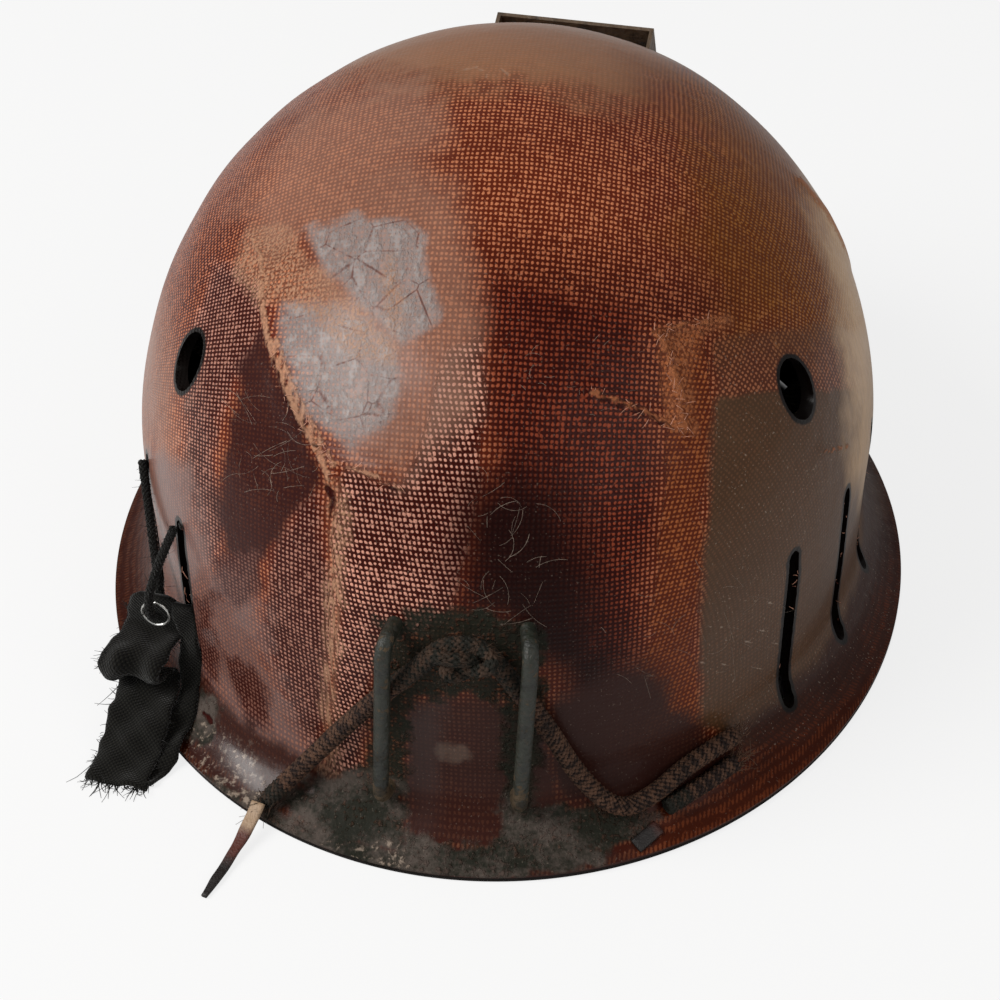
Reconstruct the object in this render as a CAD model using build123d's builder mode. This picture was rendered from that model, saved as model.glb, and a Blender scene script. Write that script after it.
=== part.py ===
"""A miner's helmet of resin-bonded canvas, with a lamp bracket, two wire cable keepers, cords and a cradle.

Frame: millimetres, +Z up, origin on the ground under the middle of the shell.
+Y is the wearer's front and +X the wearer's right. Angles round the shell start at the rear.
"""
from build123d import *
from math import asin, cos, degrees, hypot, pi, radians, sin, sqrt, tan
import os

# Shell
half_width = 108.0
half_length = 128.0
shell_height = 159.0
wall_height = 54.0
shell_wall = 3.2
brim_overhang = 14.8
flare_radius = 22.0
lip_flat = 0.5

# Openings in the shell
slot_angles = (50.3, 65.6, 80.6)
slot_width = 5.4
slot_bottom = 10.6
slot_top = 65.0
vent_angle = 57.5
vent_height = 103.0
vent_width = 14.0
vent_length = 17.0

# Clearances and the overruns of cuts
seat_gap = 0.15
soft_gap = 0.3
hole_gap = 0.15
washer_seat = 0.3
overrun = 1.0
deep_cut = 16.0

# Lamp bracket, folded from sheet and riveted to the front
bracket_angle = 172.0
bracket_height = 128.4
bracket_width = 51.0
bracket_length = 42.0
bracket_lean = 30.0
bracket_stand = 13.0
bracket_sheet = 1.2
bracket_depth = 26.0
bracket_corner = 2.5
ear_width = 12.0
ear_top = 9.0
ear_length = 29.0
ear_reach = 34.0
rivet_shank = 3.2
rivet_head = 7.0
rivet_rise = 1.6
rivet_round = 1.1
rivet_pitch = 16.0
bracket_washer = 9.0
washer_sheet = 1.0
peen_width = 5.0
peen_rise = 1.0

# Cable keepers, bent from wire
keeper_wire = 4.2
keeper_gap = 5.4
keeper_bend = 4.6
keeper_lean = 3.0
keeper_angles = (-10.6, 7.5)
keeper_tops = (71.0, 71.6)
keeper_bottoms = (15.3, 16.3)
keeper_washer = 10.0
keeper_peen = 6.4

# Braided cord under the keepers, with its folded tail and its knot
cord_width = 4.4
cord_bend_share = 0.45
cord_route = [
    (-54.8, -127.1, 6.9),
    (-42.9, -121.7, 18.8),
    (-23.5, -128.2, 48.0),
    (-12.0, -130.4, 61.4),
    (-5.2, -130.2, 69.8),
    (4.4, -130.1, 69.6),
    (10.4, -130.5, 60.6),
    (19.9, -129.0, 43.6),
    (28.6, -126.8, 22.6),
    (39.6, -127.9, 11.0),
    (49.6, -121.9, 13.0),
    (57.2, -114.0, 16.6),
    (70.1, -103.1, 17.6),
]
tail_route = [
    (52.4, -123.3, 9.4),
    (59.2, -117.6, 10.2),
    (64.8, -112.9, 11.0),
    (70.3, -107.6, 12.0),
]
knot_side = -0.6
knot_height = 66.6
knot_width = 19.0
knot_thick = 9.0

# Flat leather thong, seen at both ends of the cord
thong_width = 4.5
thong_thick = 1.0
thong_bend = 7.0
thong_start = (-57.0, -128.7)
thong_end = (-66.8, -156.5)
thong_hang = 7.4
thong_drop_share = 0.3
thong_short_start = (50.4, -127.0)
thong_short_end = (44.6, -133.2)

# Lace and strap at the wearer's left rear
lace_width = 2.4
lace_stand = 1.6
lace_drop = 2.0
lace_front = 4.2
lace_back = 3.6
lace_front_bend = 2.4
lace_back_bend = 5.0
lace_inset = 4.0
lace_knot = 6.6
strap_place = (-92.7, -81.1)
strap_heading = 9.6
strap_width = 18.0
strap_thick = 1.6
grommet_height = 31.0
grommet_width = 9.4
grommet_bore = 6.8
grommet_barrel = 0.4
grommet_flange = 0.6
tab_rise = 6.5
tab_top_width = 9.0
tab_cut = 6.0
strap_profile = [
    (0.0, 37.5),
    (0.0, 24.5),
    (13.5, 23.0),
    (13.5, 16.6),
    (5.2, 15.8),
    (5.6, 12.6),
    (22.0, 9.2),
    (32.0, 1.5),
    (38.7, 1.1),
]
strap_bends = [2.6, 2.6, 2.6, 1.2, 1.2, 8.0, 6.0]

# Cradle of webbing inside
arm_angles = (28.0, 90.0, 145.0, -145.0, -90.0, -28.0)
folded_arms = (28.0, -28.0)
webbing_width = 17.0
webbing_thick = 1.4
arm_wall_gap = 3.0
hook_drop = 20.0
hook_wire = 3.0
hook_bend = 2.6
hook_corner = 3.4
hook_side = 0.8
pad_length = 30.0
pad_tall = 15.0
pad_thick = 2.0
pad_drop = 3.0
shoulder_share = 0.64
shoulder_height = 117.0
shoulder_bend = 34.0
crown_height = 122.0
crown_distance = 28.0
crown_lace_width = 2.4
crown_lace_bend = 7.4
hem_gap = 0.5
fold_back = 15.0
fold_lean = 30.0

# Headband with its sliding nape band
band_half_width = 79.0
band_front_reach = 78.0
band_rear_reach = 60.0
band_front_centre = 15.0
band_rear_centre = -35.0
band_floor = 13.0
band_tall = 31.0
band_thick = 1.6
band_arm_gap = 1.1
band_join_above = 6.0
band_join_bend = 6.0
arm_tail_above = 7.0
sweat_thick = 1.4
sweat_proud = 1.0
arm_rivet_shank = 2.6
arm_rivet_head = 6.0
arm_rivet_rise = 0.8
arm_rivet_above = 14.0
nape_thick = 1.4
nape_gap = 0.4
nape_tall = 23.0
nape_lift = 4.0
nape_front = -11.0
nape_travel = 14.0
nape_pad_thick = 3.0
nape_pad_margin = 2.0
stud_shank = 4.0
stud_head = 8.0
stud_rise = 1.4
stud_place = -31.0

# Sizes worked out from those above
dome_rise = shell_height - wall_height
flare_centre = half_width + flare_radius
flare_drop = sqrt(flare_radius**2 - (flare_radius - brim_overhang) ** 2)
lip_height = shell_wall * flare_drop / flare_radius - lip_flat
flare_height = lip_height + flare_drop
slot_middle = (slot_bottom + slot_top) / 2
up = Vector(0, 0, 1)


def face_radius(height, grow):
    """Half-width, at a height, of the shell's outer face moved outwards by grow."""
    if height > wall_height:
        rise = (height - wall_height) / (dome_rise + grow)
        return (half_width + grow) * sqrt(1 - rise**2)
    if height < flare_height:
        return flare_centre - sqrt((flare_radius - grow) ** 2 - (flare_height - height) ** 2)
    return half_width + grow


def face_point(angle, height, grow):
    """Point of that face at an angle round the shell and a height."""
    radius = face_radius(height, grow)
    ratio = (half_length + grow) / (half_width + grow)
    return Vector(radius * sin(radians(angle)), -radius * ratio * cos(radians(angle)), height)


def level_normal(angle):
    """Level direction square to the shell at an angle round it."""
    return Vector(sin(radians(angle)) / half_width, -cos(radians(angle)) / half_length, 0).normalized()


def face_plane(angle, height):
    """Plane on the outer face: x runs round the shell, y up it and z out of it."""
    point = face_point(angle, height, 0)
    lift = max(height - wall_height, 0)
    out = Vector(point.X / half_width**2, point.Y / half_length**2, lift / dome_rise**2)
    around = Vector(half_width * cos(radians(angle)), half_length * sin(radians(angle)), 0)
    return Plane(origin=point, x_dir=around, z_dir=out)


def dome_plane(start, heading, grow):
    """Plane square to the dome's face, moved outwards by grow, where a line from outside meets it."""
    sizes = (half_width + grow, half_length + grow, dome_rise + grow)
    start_shares = [a / b for a, b in zip((start.X, start.Y, start.Z - wall_height), sizes)]
    step_shares = [a / b for a, b in zip((heading.X, heading.Y, heading.Z), sizes)]
    square = sum(step**2 for step in step_shares)
    middle = sum(place * step for place, step in zip(start_shares, step_shares))
    rest = sum(place**2 for place in start_shares) - 1
    travel = (-middle - sqrt(middle**2 - square * rest)) / square
    point = start + heading * travel
    out = Vector(point.X / sizes[0] ** 2, point.Y / sizes[1] ** 2, (point.Z - wall_height) / sizes[2] ** 2)
    return Plane(origin=point, z_dir=out)


def shell_form(grow, end_height, depth):
    """Solid inside the shell's outer face moved outwards by grow, closed at a depth below the ground."""
    half = half_width + grow
    arc_radius = flare_radius - grow
    arc_size = degrees(asin((flare_height - end_height) / arc_radius))
    with BuildPart() as form:
        with BuildSketch(Plane.XZ):
            with BuildLine():
                dome = EllipticalCenterArc((0, wall_height), half, dome_rise + grow, start_angle=0, arc_size=90)
                Line((half, wall_height), (half, flare_height))
                flare = CenterArc((flare_centre, flare_height), arc_radius, 180, arc_size)
                edge = flare @ 1
                Polyline((edge.X, edge.Y), (edge.X, -depth), (0, -depth), (0, (dome @ 1).Y))
            make_face()
        revolve(axis=Axis.Z)
        scale(by=(1, (half_length + grow) / half, 1))
    return form.part


def bend_radii(points):
    """Largest radius that each corner of a cord's route leaves room for."""
    radii = []
    for before, corner, after in zip(points, points[1:], points[2:]):
        first = Vector(*corner) - Vector(*before)
        second = Vector(*after) - Vector(*corner)
        turn = first.get_angle(second)
        radii.append(cord_bend_share * min(first.length, second.length) / tan(radians(turn / 2)))
    return radii


def tube(name, points, radii, width):
    """Round tube along straight runs and arcs, with its length and bends printed."""
    with BuildPart() as run:
        with BuildLine() as line:
            FilletPolyline(points, radius=radii)
        with BuildSketch(Plane(origin=line.line @ 0, z_dir=line.line % 0)):
            Circle(width / 2)
        sweep(path=line.line)
    length = line.wire().length
    expected = pi * width**2 / 4 * length
    print(name, "length", round(length, 1), "radii", [round(radius, 1) for radius in radii])
    print(name, "volume", round(run.part.volume, 1), "section times length", round(expected, 1))
    return run.part


def ribbon(plane, points, radii, width, thick):
    """Flat band along a line drawn in a plane, as wide as given square to the plane."""
    with BuildPart() as band:
        with BuildLine(plane) as line:
            FilletPolyline(points, radius=radii)
        with BuildSketch(Plane(origin=line.line @ 0, x_dir=plane.z_dir, z_dir=line.line % 0)):
            Rectangle(width, thick)
        sweep(path=line.line)
    return band.part


outer_form = shell_form(0, lip_height, overrun)
inner_form = shell_form(-shell_wall, 0, overrun)
seat_form = shell_form(seat_gap, lip_height, 0)

# The lamp bracket's own plane: x across it, y up its front and z out of it
bracket_out = level_normal(bracket_angle)
bracket_point = face_point(bracket_angle, bracket_height, 0) + bracket_out * bracket_stand
bracket_normal = bracket_out * cos(radians(bracket_lean)) + up * sin(radians(bracket_lean))
bracket_plane = Plane(origin=bracket_point, x_dir=up.cross(bracket_out), z_dir=bracket_normal)
ear_place = bracket_width / 2 + (ear_width - bracket_sheet) / 2
rivet_planes = []
for side in (-1, 1):
    for row in (-1, 1):
        height_on_plate = -ear_top - ear_length / 2 + row * rivet_pitch / 2
        start = bracket_plane.from_local_coords(Vector(side * ear_place, height_on_plate, 0))
        rivet_planes.append(dome_plane(start, bracket_normal * -1, seat_gap + bracket_sheet))
hook_height = min(plane.origin.Z for plane in rivet_planes) - hook_drop


def keeper_plane(angle, middle):
    """Upright plane of a keeper, x out of the shell and y up the bar, from the wall's face."""
    foot = face_point(angle, wall_height, 0)
    out = level_normal(angle)
    aside = up.cross(out)
    rise = up * cos(radians(keeper_lean)) + aside * sin(radians(keeper_lean))
    origin = Vector(foot.X, foot.Y, 0) - aside * (middle * sin(radians(keeper_lean)))
    return Plane(origin=origin, x_dir=out, z_dir=out.cross(rise))


def inner_seat(angle, height):
    """Place of a keeper's washer on the inside, measured outwards from the wall's face."""
    foot = face_point(angle, wall_height, 0)
    reach = keeper_washer / 2
    levels = (height - reach, height, height + reach)
    depths = [(face_point(angle, level, -shell_wall) - foot).dot(level_normal(angle)) for level in levels]
    return min(depths) - washer_seat


keeper_planes = []
keeper_legs = []
for angle, top, bottom in zip(keeper_angles, keeper_tops, keeper_bottoms):
    plane = keeper_plane(angle, (top + bottom) / 2)
    keeper_planes.append(plane)
    for level in (top, bottom):
        seat = inner_seat(angle, level)
        leg_origin = plane.from_local_coords(Vector(seat, level, 0))
        keeper_legs.append(Plane(origin=leg_origin, z_dir=level_normal(angle)))

# Shell: dome, straight wall and flared brim, with slots, vents and holes
with BuildPart() as shell:
    add(outer_form)
    add(inner_form, mode=Mode.SUBTRACT)
    split(bisect_by=Plane.XY, keep=Keep.TOP)
    for angle in slot_angles:
        for side in (-1, 1):
            with BuildSketch(face_plane(side * angle, slot_middle)):
                SlotOverall(slot_top - slot_bottom, slot_width, rotation=90)
            extrude(amount=deep_cut, both=True, mode=Mode.SUBTRACT)
    for side in (-1, 1):
        with BuildSketch(face_plane(side * vent_angle, vent_height)):
            Ellipse(vent_width / 2, vent_length / 2)
        extrude(amount=deep_cut, both=True, mode=Mode.SUBTRACT)
    with BuildSketch(*keeper_legs):
        Circle(keeper_wire / 2 + hole_gap)
    extrude(amount=deep_cut, both=True, mode=Mode.SUBTRACT)
    with BuildSketch(*rivet_planes):
        Circle(rivet_shank / 2 + hole_gap)
    extrude(amount=-deep_cut, mode=Mode.SUBTRACT)

# Lamp bracket: a plate in front, two cheeks back to the shell and two ears that lie on it
with BuildPart() as lamp_bracket:
    add(shell_form(seat_gap + bracket_sheet, (lip_height + flare_height) / 2, 0))
    with BuildSketch(bracket_plane):
        for side in (-1, 1):
            with Locations((side * ear_place, -ear_top - ear_length / 2)):
                RectangleRounded(ear_width, ear_length, bracket_corner)
    extrude(amount=ear_reach, both=True, mode=Mode.INTERSECT)
    with BuildSketch(bracket_plane):
        with Locations((0, -bracket_length / 2)):
            Rectangle(bracket_width, bracket_length)
    extrude(amount=-bracket_sheet)
    with BuildSketch(bracket_plane):
        for side in (-1, 1):
            with Locations((side * (bracket_width - bracket_sheet) / 2, -bracket_length / 2)):
                Rectangle(bracket_sheet, bracket_length)
    extrude(amount=-bracket_depth)
    add(seat_form, mode=Mode.SUBTRACT)
    with BuildSketch(*rivet_planes):
        Circle(rivet_shank / 2 + hole_gap)
    extrude(amount=-deep_cut, both=True, mode=Mode.SUBTRACT)

# Rivets of the bracket, with domed heads outside and peened ends inside
rivet_grip = bracket_sheet + seat_gap + shell_wall + washer_seat + washer_sheet
with BuildPart() as bracket_rivets:
    for plane in rivet_planes:
        with BuildSketch(plane):
            Circle(rivet_head / 2)
        extrude(amount=rivet_rise)
        fillet(edges().filter_by(GeomType.CIRCLE).sort_by_distance(plane.origin + plane.z_dir * rivet_rise)[0],
               radius=rivet_round)
        with BuildSketch(plane):
            Circle(rivet_shank / 2)
        extrude(amount=-rivet_grip)
        with BuildSketch(plane.offset(-rivet_grip)):
            Circle(peen_width / 2)
        extrude(amount=-peen_rise)

# Washers under the peened ends
with BuildPart() as bracket_washers:
    for plane in rivet_planes:
        with BuildSketch(plane.offset(-rivet_grip)):
            Circle(bracket_washer / 2)
            Circle(rivet_shank / 2 + hole_gap, mode=Mode.SUBTRACT)
        extrude(amount=washer_sheet)


def cable_keeper(plane, top, bottom, legs):
    """Wire bent to a staple, with both legs through the wall and peened inside."""
    stand = keeper_gap + keeper_wire / 2
    ends = [plane.to_local_coords(leg.origin).X - washer_sheet for leg in legs]
    with BuildPart() as keeper:
        with BuildLine(plane) as line:
            FilletPolyline((ends[0], top), (stand, top), (stand, bottom), (ends[1], bottom), radius=keeper_bend)
        with BuildSketch(Plane(origin=line.line @ 0, z_dir=line.line % 0)):
            Circle(keeper_wire / 2)
        sweep(path=line.line)
        for leg in legs:
            with BuildSketch(leg.offset(-washer_sheet)):
                Circle(keeper_peen / 2)
            extrude(amount=-peen_rise)
    return keeper.part


with BuildPart() as cable_keeper_left:
    add(cable_keeper(keeper_planes[0], keeper_tops[0], keeper_bottoms[0], keeper_legs[:2]))
with BuildPart() as cable_keeper_right:
    add(cable_keeper(keeper_planes[1], keeper_tops[1], keeper_bottoms[1], keeper_legs[2:]))
with BuildPart() as keeper_washers:
    for leg in keeper_legs:
        with BuildSketch(leg.offset(-washer_sheet)):
            Circle(keeper_washer / 2)
            Circle(keeper_wire / 2 + hole_gap, mode=Mode.SUBTRACT)
        extrude(amount=washer_sheet)

# Braided cord, threaded under both keepers, with a knot at the top of its arch
knot_wall = face_point(0, wall_height, 0).Y
knot_centre = Vector(knot_side, knot_wall - soft_gap - knot_thick / 2, knot_height)
with BuildPart() as hat_cord:
    add(tube("hat_cord", cord_route, bend_radii(cord_route), cord_width))
    with BuildSketch(Plane(origin=knot_centre, x_dir=(1, 0, 0), z_dir=(0, -1, 0))):
        SlotOverall(knot_width, knot_thick)
        Rectangle(knot_width, knot_thick, align=(Align.CENTER, Align.MAX), mode=Mode.SUBTRACT)
    revolve(axis=Axis(knot_centre, (1, 0, 0)))
print("hat_cord with its knot", round(hat_cord.part.volume, 1))
with BuildPart() as cord_tail:
    add(tube("cord_tail", tail_route, bend_radii(tail_route), cord_width))

# Thong: one end hangs over the brim to the ground, the other is cut off short
thong_run = Vector(*thong_end) - Vector(*thong_start)
thong_plane = Plane(origin=Vector(*thong_start), x_dir=thong_run, z_dir=thong_run.cross(up))
thong_rest = thong_thick / 2 + seat_gap
thong_points = [
    (0, thong_hang),
    (thong_run.length * thong_drop_share, thong_rest),
    (thong_run.length, thong_rest),
]
with BuildPart() as thong_left:
    add(ribbon(thong_plane, thong_points, thong_bend, thong_width, thong_thick))


def brim_plane(place):
    """Plane on the flared brim's outer face over a point of the plan, z out of it."""
    across = hypot(place.X, place.Y * half_width / half_length)
    drop = sqrt(flare_radius**2 - (flare_centre - across) ** 2)
    out = Vector(place.X / half_width**2, place.Y / half_length**2, 0).normalized()
    slope = (flare_centre - across) / drop
    return Plane(origin=place + up * (flare_height - drop), z_dir=out * slope + up)


short_lift = thong_thick / 2 + soft_gap
short_ends = []
for place in (thong_short_start, thong_short_end):
    foot = brim_plane(Vector(*place))
    short_ends.append(foot.origin + foot.z_dir * short_lift)
short_run = short_ends[1] - short_ends[0]
short_face = brim_plane((Vector(*thong_short_start) + Vector(*thong_short_end)) / 2).z_dir
with BuildPart() as thong_right:
    with BuildSketch(Plane(origin=short_ends[0], x_dir=short_face.cross(short_run), z_dir=short_run)):
        Rectangle(thong_width, thong_thick)
    extrude(amount=short_run.length)

# Strap at the left rear: a tab round the grommet, a fold that sticks out, and a tail on the ground
strap_out = Vector(-sin(radians(strap_heading)), -cos(radians(strap_heading)), 0)
strap_origin = Vector(*strap_place)
strap_plane = Plane(origin=strap_origin, x_dir=strap_out, z_dir=strap_out.cross(up))
tab_plane = Plane(origin=strap_origin + up * grommet_height, x_dir=up.cross(strap_out), z_dir=strap_out)
tab_line = [(tab_top_width / 2, tab_rise), (strap_width / 2, tab_rise - tab_cut), (strap_width / 2, tab_rise)]
barrel_radius = grommet_bore / 2 + grommet_barrel
with BuildPart() as chin_strap:
    add(ribbon(strap_plane, strap_profile, strap_bends, strap_width, strap_thick))
    with BuildSketch(tab_plane):
        with BuildLine():
            Polyline(*tab_line, close=True)
        make_face()
        mirror(about=Plane.YZ)
    extrude(amount=strap_thick, both=True, mode=Mode.SUBTRACT)
    with BuildSketch(tab_plane):
        Circle(barrel_radius + hole_gap)
    extrude(amount=strap_thick, both=True, mode=Mode.SUBTRACT)

grommet_half = strap_thick / 2 + seat_gap + grommet_flange
with BuildPart() as strap_grommet:
    with BuildSketch(tab_plane):
        Circle(barrel_radius)
    extrude(amount=grommet_half, both=True)
    for side in (-1, 1):
        with BuildSketch(tab_plane.offset(side * (strap_thick / 2 + seat_gap))):
            Circle(grommet_width / 2)
        extrude(amount=side * grommet_flange)
    with BuildSketch(tab_plane):
        Circle(grommet_bore / 2)
    extrude(amount=grommet_half + overrun, both=True, mode=Mode.SUBTRACT)

# Lace: a loop outside that the strap hangs on, and its tied part inside
lace_pivots = []
lace_normals = []
for angle in slot_angles[:2]:
    normal = level_normal(-angle)
    lace_normals.append(normal)
    lace_pivots.append(face_point(-angle, slot_top - lace_drop, 0) + normal * lace_stand)
bore_centre = tab_plane.origin
lace_points = [
    lace_pivots[0],
    bore_centre + strap_out * lace_front,
    bore_centre - strap_out * lace_back,
    lace_pivots[1],
]
with BuildPart() as strap_lace:
    add(tube("strap_lace", lace_points, [lace_front_bend, lace_back_bend], lace_width))
    with Locations(*lace_pivots):
        Sphere(lace_width / 2)

lace_joint = lace_width / 2 + soft_gap
inside_reach = lace_stand + shell_wall + lace_inset
inside_points = [
    lace_pivots[0] - lace_normals[0] * lace_joint,
    lace_pivots[0] - lace_normals[0] * inside_reach,
    lace_pivots[1] - lace_normals[1] * inside_reach,
    lace_pivots[1] - lace_normals[1] * lace_joint,
]
with BuildPart() as lace_inside:
    add(tube("lace_inside", inside_points, bend_radii([tuple(point) for point in inside_points]), lace_width))
    with Locations((inside_points[1] + inside_points[2]) / 2):
        Sphere(lace_knot / 2)

# Cradle: each arm runs from the crown lace, round a hook on the shell, and down to the headband
hem_radius = crown_lace_width / 2 + hem_gap + webbing_thick / 2


def arm_heading(angle):
    """Level direction from the middle to an arm's hook."""
    point = face_point(angle, hook_height, -shell_wall)
    return Vector(point.X, point.Y, 0).normalized()


def arm_reach(angle):
    """Distance from the middle to the outside of an arm's turn round its hook."""
    point = face_point(angle, hook_height, -shell_wall)
    return hypot(point.X, point.Y) - pad_thick - arm_wall_gap - webbing_thick / 2


def band_distance(heading):
    """Distance from the middle to the headband's outer face along a level direction."""
    side_distance = band_half_width / abs(heading.X)
    if side_distance * heading.Y <= band_front_centre:
        return side_distance
    square = (heading.X / band_half_width) ** 2 + (heading.Y / band_front_reach) ** 2
    middle = -heading.Y * band_front_centre / band_front_reach**2
    rest = (band_front_centre / band_front_reach) ** 2 - 1
    return (-middle + sqrt(middle**2 - square * rest)) / square


def arm_line(angle):
    """Points and bends of an arm, outwards from the crown and upwards from the ground."""
    reach = arm_reach(angle)
    points = [
        (crown_distance, crown_height + hem_radius),
        (reach * shoulder_share, shoulder_height),
        (reach, hook_height),
    ]
    bends = [shoulder_bend, hook_bend]
    if angle in folded_arms:
        lean = radians(fold_lean)
        points.append((reach - fold_back * sin(lean), hook_height - fold_back * cos(lean)))
        return points, bends
    join = band_distance(arm_heading(angle)) + band_arm_gap + webbing_thick / 2
    points.append((join, band_floor + band_tall + band_join_above))
    points.append((join, band_floor + arm_tail_above))
    return points, bends + [band_join_bend]


def bend_centre(before, corner, after, radius):
    """Centre of the arc that rounds a corner."""
    first = (Vector(*before) - Vector(*corner)).normalized()
    second = (Vector(*after) - Vector(*corner)).normalized()
    half_turn = radians(first.get_angle(second) / 2)
    return Vector(*corner) + (first + second).normalized() * (radius / sin(half_turn))


def arm_plane(angle):
    """Upright plane through the middle and an arm."""
    heading = arm_heading(angle)
    return Plane(origin=(0, 0, 0), x_dir=heading, z_dir=heading.cross(up))


arm_rivet_planes = []
cradle_arms = []
for angle in arm_angles:
    points, bends = arm_line(angle)
    plane = arm_plane(angle)
    with BuildPart() as cradle_arm:
        add(ribbon(plane, points, bends, webbing_width, webbing_thick))
        with BuildSketch(plane):
            with Locations((crown_distance, crown_height)):
                Circle(hem_radius + webbing_thick / 2)
        extrude(amount=webbing_width / 2, both=True)
        with BuildSketch(plane):
            with Locations((crown_distance, crown_height)):
                Circle(hem_radius - webbing_thick / 2)
        extrude(amount=webbing_width / 2 + overrun, both=True, mode=Mode.SUBTRACT)
        if angle not in folded_arms:
            join = points[-1][0]
            rivet_origin = plane.from_local_coords(Vector(join + webbing_thick / 2, band_floor + arm_rivet_above, 0))
            rivet_plane = Plane(origin=rivet_origin, z_dir=plane.x_dir)
            arm_rivet_planes.append(rivet_plane)
            with BuildSketch(rivet_plane):
                Circle(arm_rivet_shank / 2 + hole_gap)
            extrude(amount=-webbing_thick - band_arm_gap / 2, both=True, mode=Mode.SUBTRACT)
    cradle_arms.append(cradle_arm)

# Pads bonded to the shell, and the wire hooks that stand on them
pad_face = -shell_wall - seat_gap
with BuildPart() as pad_blocks:
    for angle in arm_angles:
        plane = arm_plane(angle)
        point = face_point(angle, hook_height, -shell_wall)
        distance = hypot(point.X, point.Y)
        with BuildSketch(plane):
            with Locations((distance, hook_height - pad_drop)):
                Rectangle(pad_length, pad_tall)
        extrude(amount=pad_length / 2, both=True)
with BuildPart() as hanger_pads:
    add(shell_form(pad_face, lip_height, 0))
    add(shell_form(pad_face - pad_thick, 0, overrun), mode=Mode.SUBTRACT)
    add(pad_blocks.part, mode=Mode.INTERSECT)

hook_half = webbing_width / 2 + hook_side + hook_wire / 2
with BuildPart() as hanger_hooks:
    for angle in arm_angles:
        points, bends = arm_line(angle)
        bar = bend_centre(points[1], points[2], points[3], hook_bend)
        heading = arm_heading(angle)
        hook_plane = Plane(origin=up * bar.Y, x_dir=heading, z_dir=up)
        far = points[2][0] + pad_length / 2
        with BuildLine(hook_plane) as hook_line:
            FilletPolyline((far, hook_half), (bar.X, hook_half), (bar.X, -hook_half), (far, -hook_half),
                           radius=hook_corner)
        with BuildSketch(Plane(origin=hook_line.line @ 0, z_dir=hook_line.line % 0)):
            Circle(hook_wire / 2)
        sweep(path=hook_line.line)
    add(shell_form(pad_face - pad_thick - seat_gap, 0, overrun), mode=Mode.INTERSECT)

# Crown lace: one cord straight through each arm's hem and round the corners between
crown_corners = []
headings = [arm_heading(angle) for angle in arm_angles]
for first, second in zip(headings, headings[1:] + headings[:1]):
    bisector = (first + second).normalized()
    corner = bisector * (crown_distance / first.dot(bisector))
    crown_corners.append(Vector(corner.X, corner.Y, crown_height))
with BuildPart() as crown_lace:
    with BuildLine() as crown_line:
        FilletPolyline(*crown_corners, radius=crown_lace_bend, close=True)
    with BuildSketch(Plane(origin=crown_line.line @ 0, z_dir=crown_line.line % 0)):
        Circle(crown_lace_width / 2)
    sweep(path=crown_line.line)


def head_oval(height, shrink):
    """Plan of the headband: two half ovals and the straight sides between them."""
    straight = band_front_centre - band_rear_centre
    with BuildSketch(Plane.XY.offset(height)) as oval:
        with Locations((0, band_front_centre)):
            Ellipse(band_half_width - shrink, band_front_reach - shrink)
        with Locations((0, band_rear_centre)):
            Ellipse(band_half_width - shrink, band_rear_reach - shrink)
        with Locations((0, (band_front_centre + band_rear_centre) / 2)):
            Rectangle(2 * (band_half_width - shrink), straight)
    return oval.sketch


def oval_band(floor, tall, outside, inside):
    """Upright band between two ovals."""
    with BuildPart() as band:
        add(head_oval(floor, outside))
        extrude(amount=tall)
        add(head_oval(floor, inside))
        extrude(amount=tall, mode=Mode.SUBTRACT)
    return band.part


cut_width = 2 * (band_half_width + deep_cut)
cut_length = band_front_reach + band_rear_reach + deep_cut
stud_height = band_floor + nape_lift + nape_tall / 2
stud_planes = [
    Plane(origin=(side * band_half_width, stud_place, stud_height), z_dir=(side, 0, 0)) for side in (-1, 1)
]

# Headband round the front and the sides, open at the nape
with BuildPart() as headband:
    add(oval_band(band_floor, band_tall, 0, band_thick))
    with BuildSketch(Plane.XY.offset(band_floor)):
        with Locations((0, band_rear_centre - cut_length / 2)):
            Rectangle(cut_width, cut_length)
    extrude(amount=band_tall, mode=Mode.SUBTRACT)
    with BuildSketch(*arm_rivet_planes):
        Circle(arm_rivet_shank / 2 + hole_gap)
    extrude(amount=-deep_cut, mode=Mode.SUBTRACT)
    with BuildSketch(*stud_planes):
        Circle(stud_shank / 2 + hole_gap)
    extrude(amount=-deep_cut, mode=Mode.SUBTRACT)

# Leather sweatband inside it
sweat_face = band_thick + soft_gap
with BuildPart() as sweatband:
    add(oval_band(band_floor - sweat_proud, band_tall + 2 * sweat_proud, sweat_face, sweat_face + sweat_thick))
    with BuildSketch(Plane.XY.offset(band_floor - sweat_proud)):
        with Locations((0, band_rear_centre - cut_length / 2)):
            Rectangle(cut_width, cut_length)
    extrude(amount=band_tall + 2 * sweat_proud, mode=Mode.SUBTRACT)

# Rivets that hold the arms to the headband, flush on the inside
with BuildPart() as headband_rivets:
    for plane in arm_rivet_planes:
        with BuildSketch(plane):
            Circle(arm_rivet_head / 2)
        extrude(amount=arm_rivet_rise)
        with BuildSketch(plane):
            Circle(arm_rivet_shank / 2)
        extrude(amount=-webbing_thick - band_arm_gap - band_thick + seat_gap)

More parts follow.
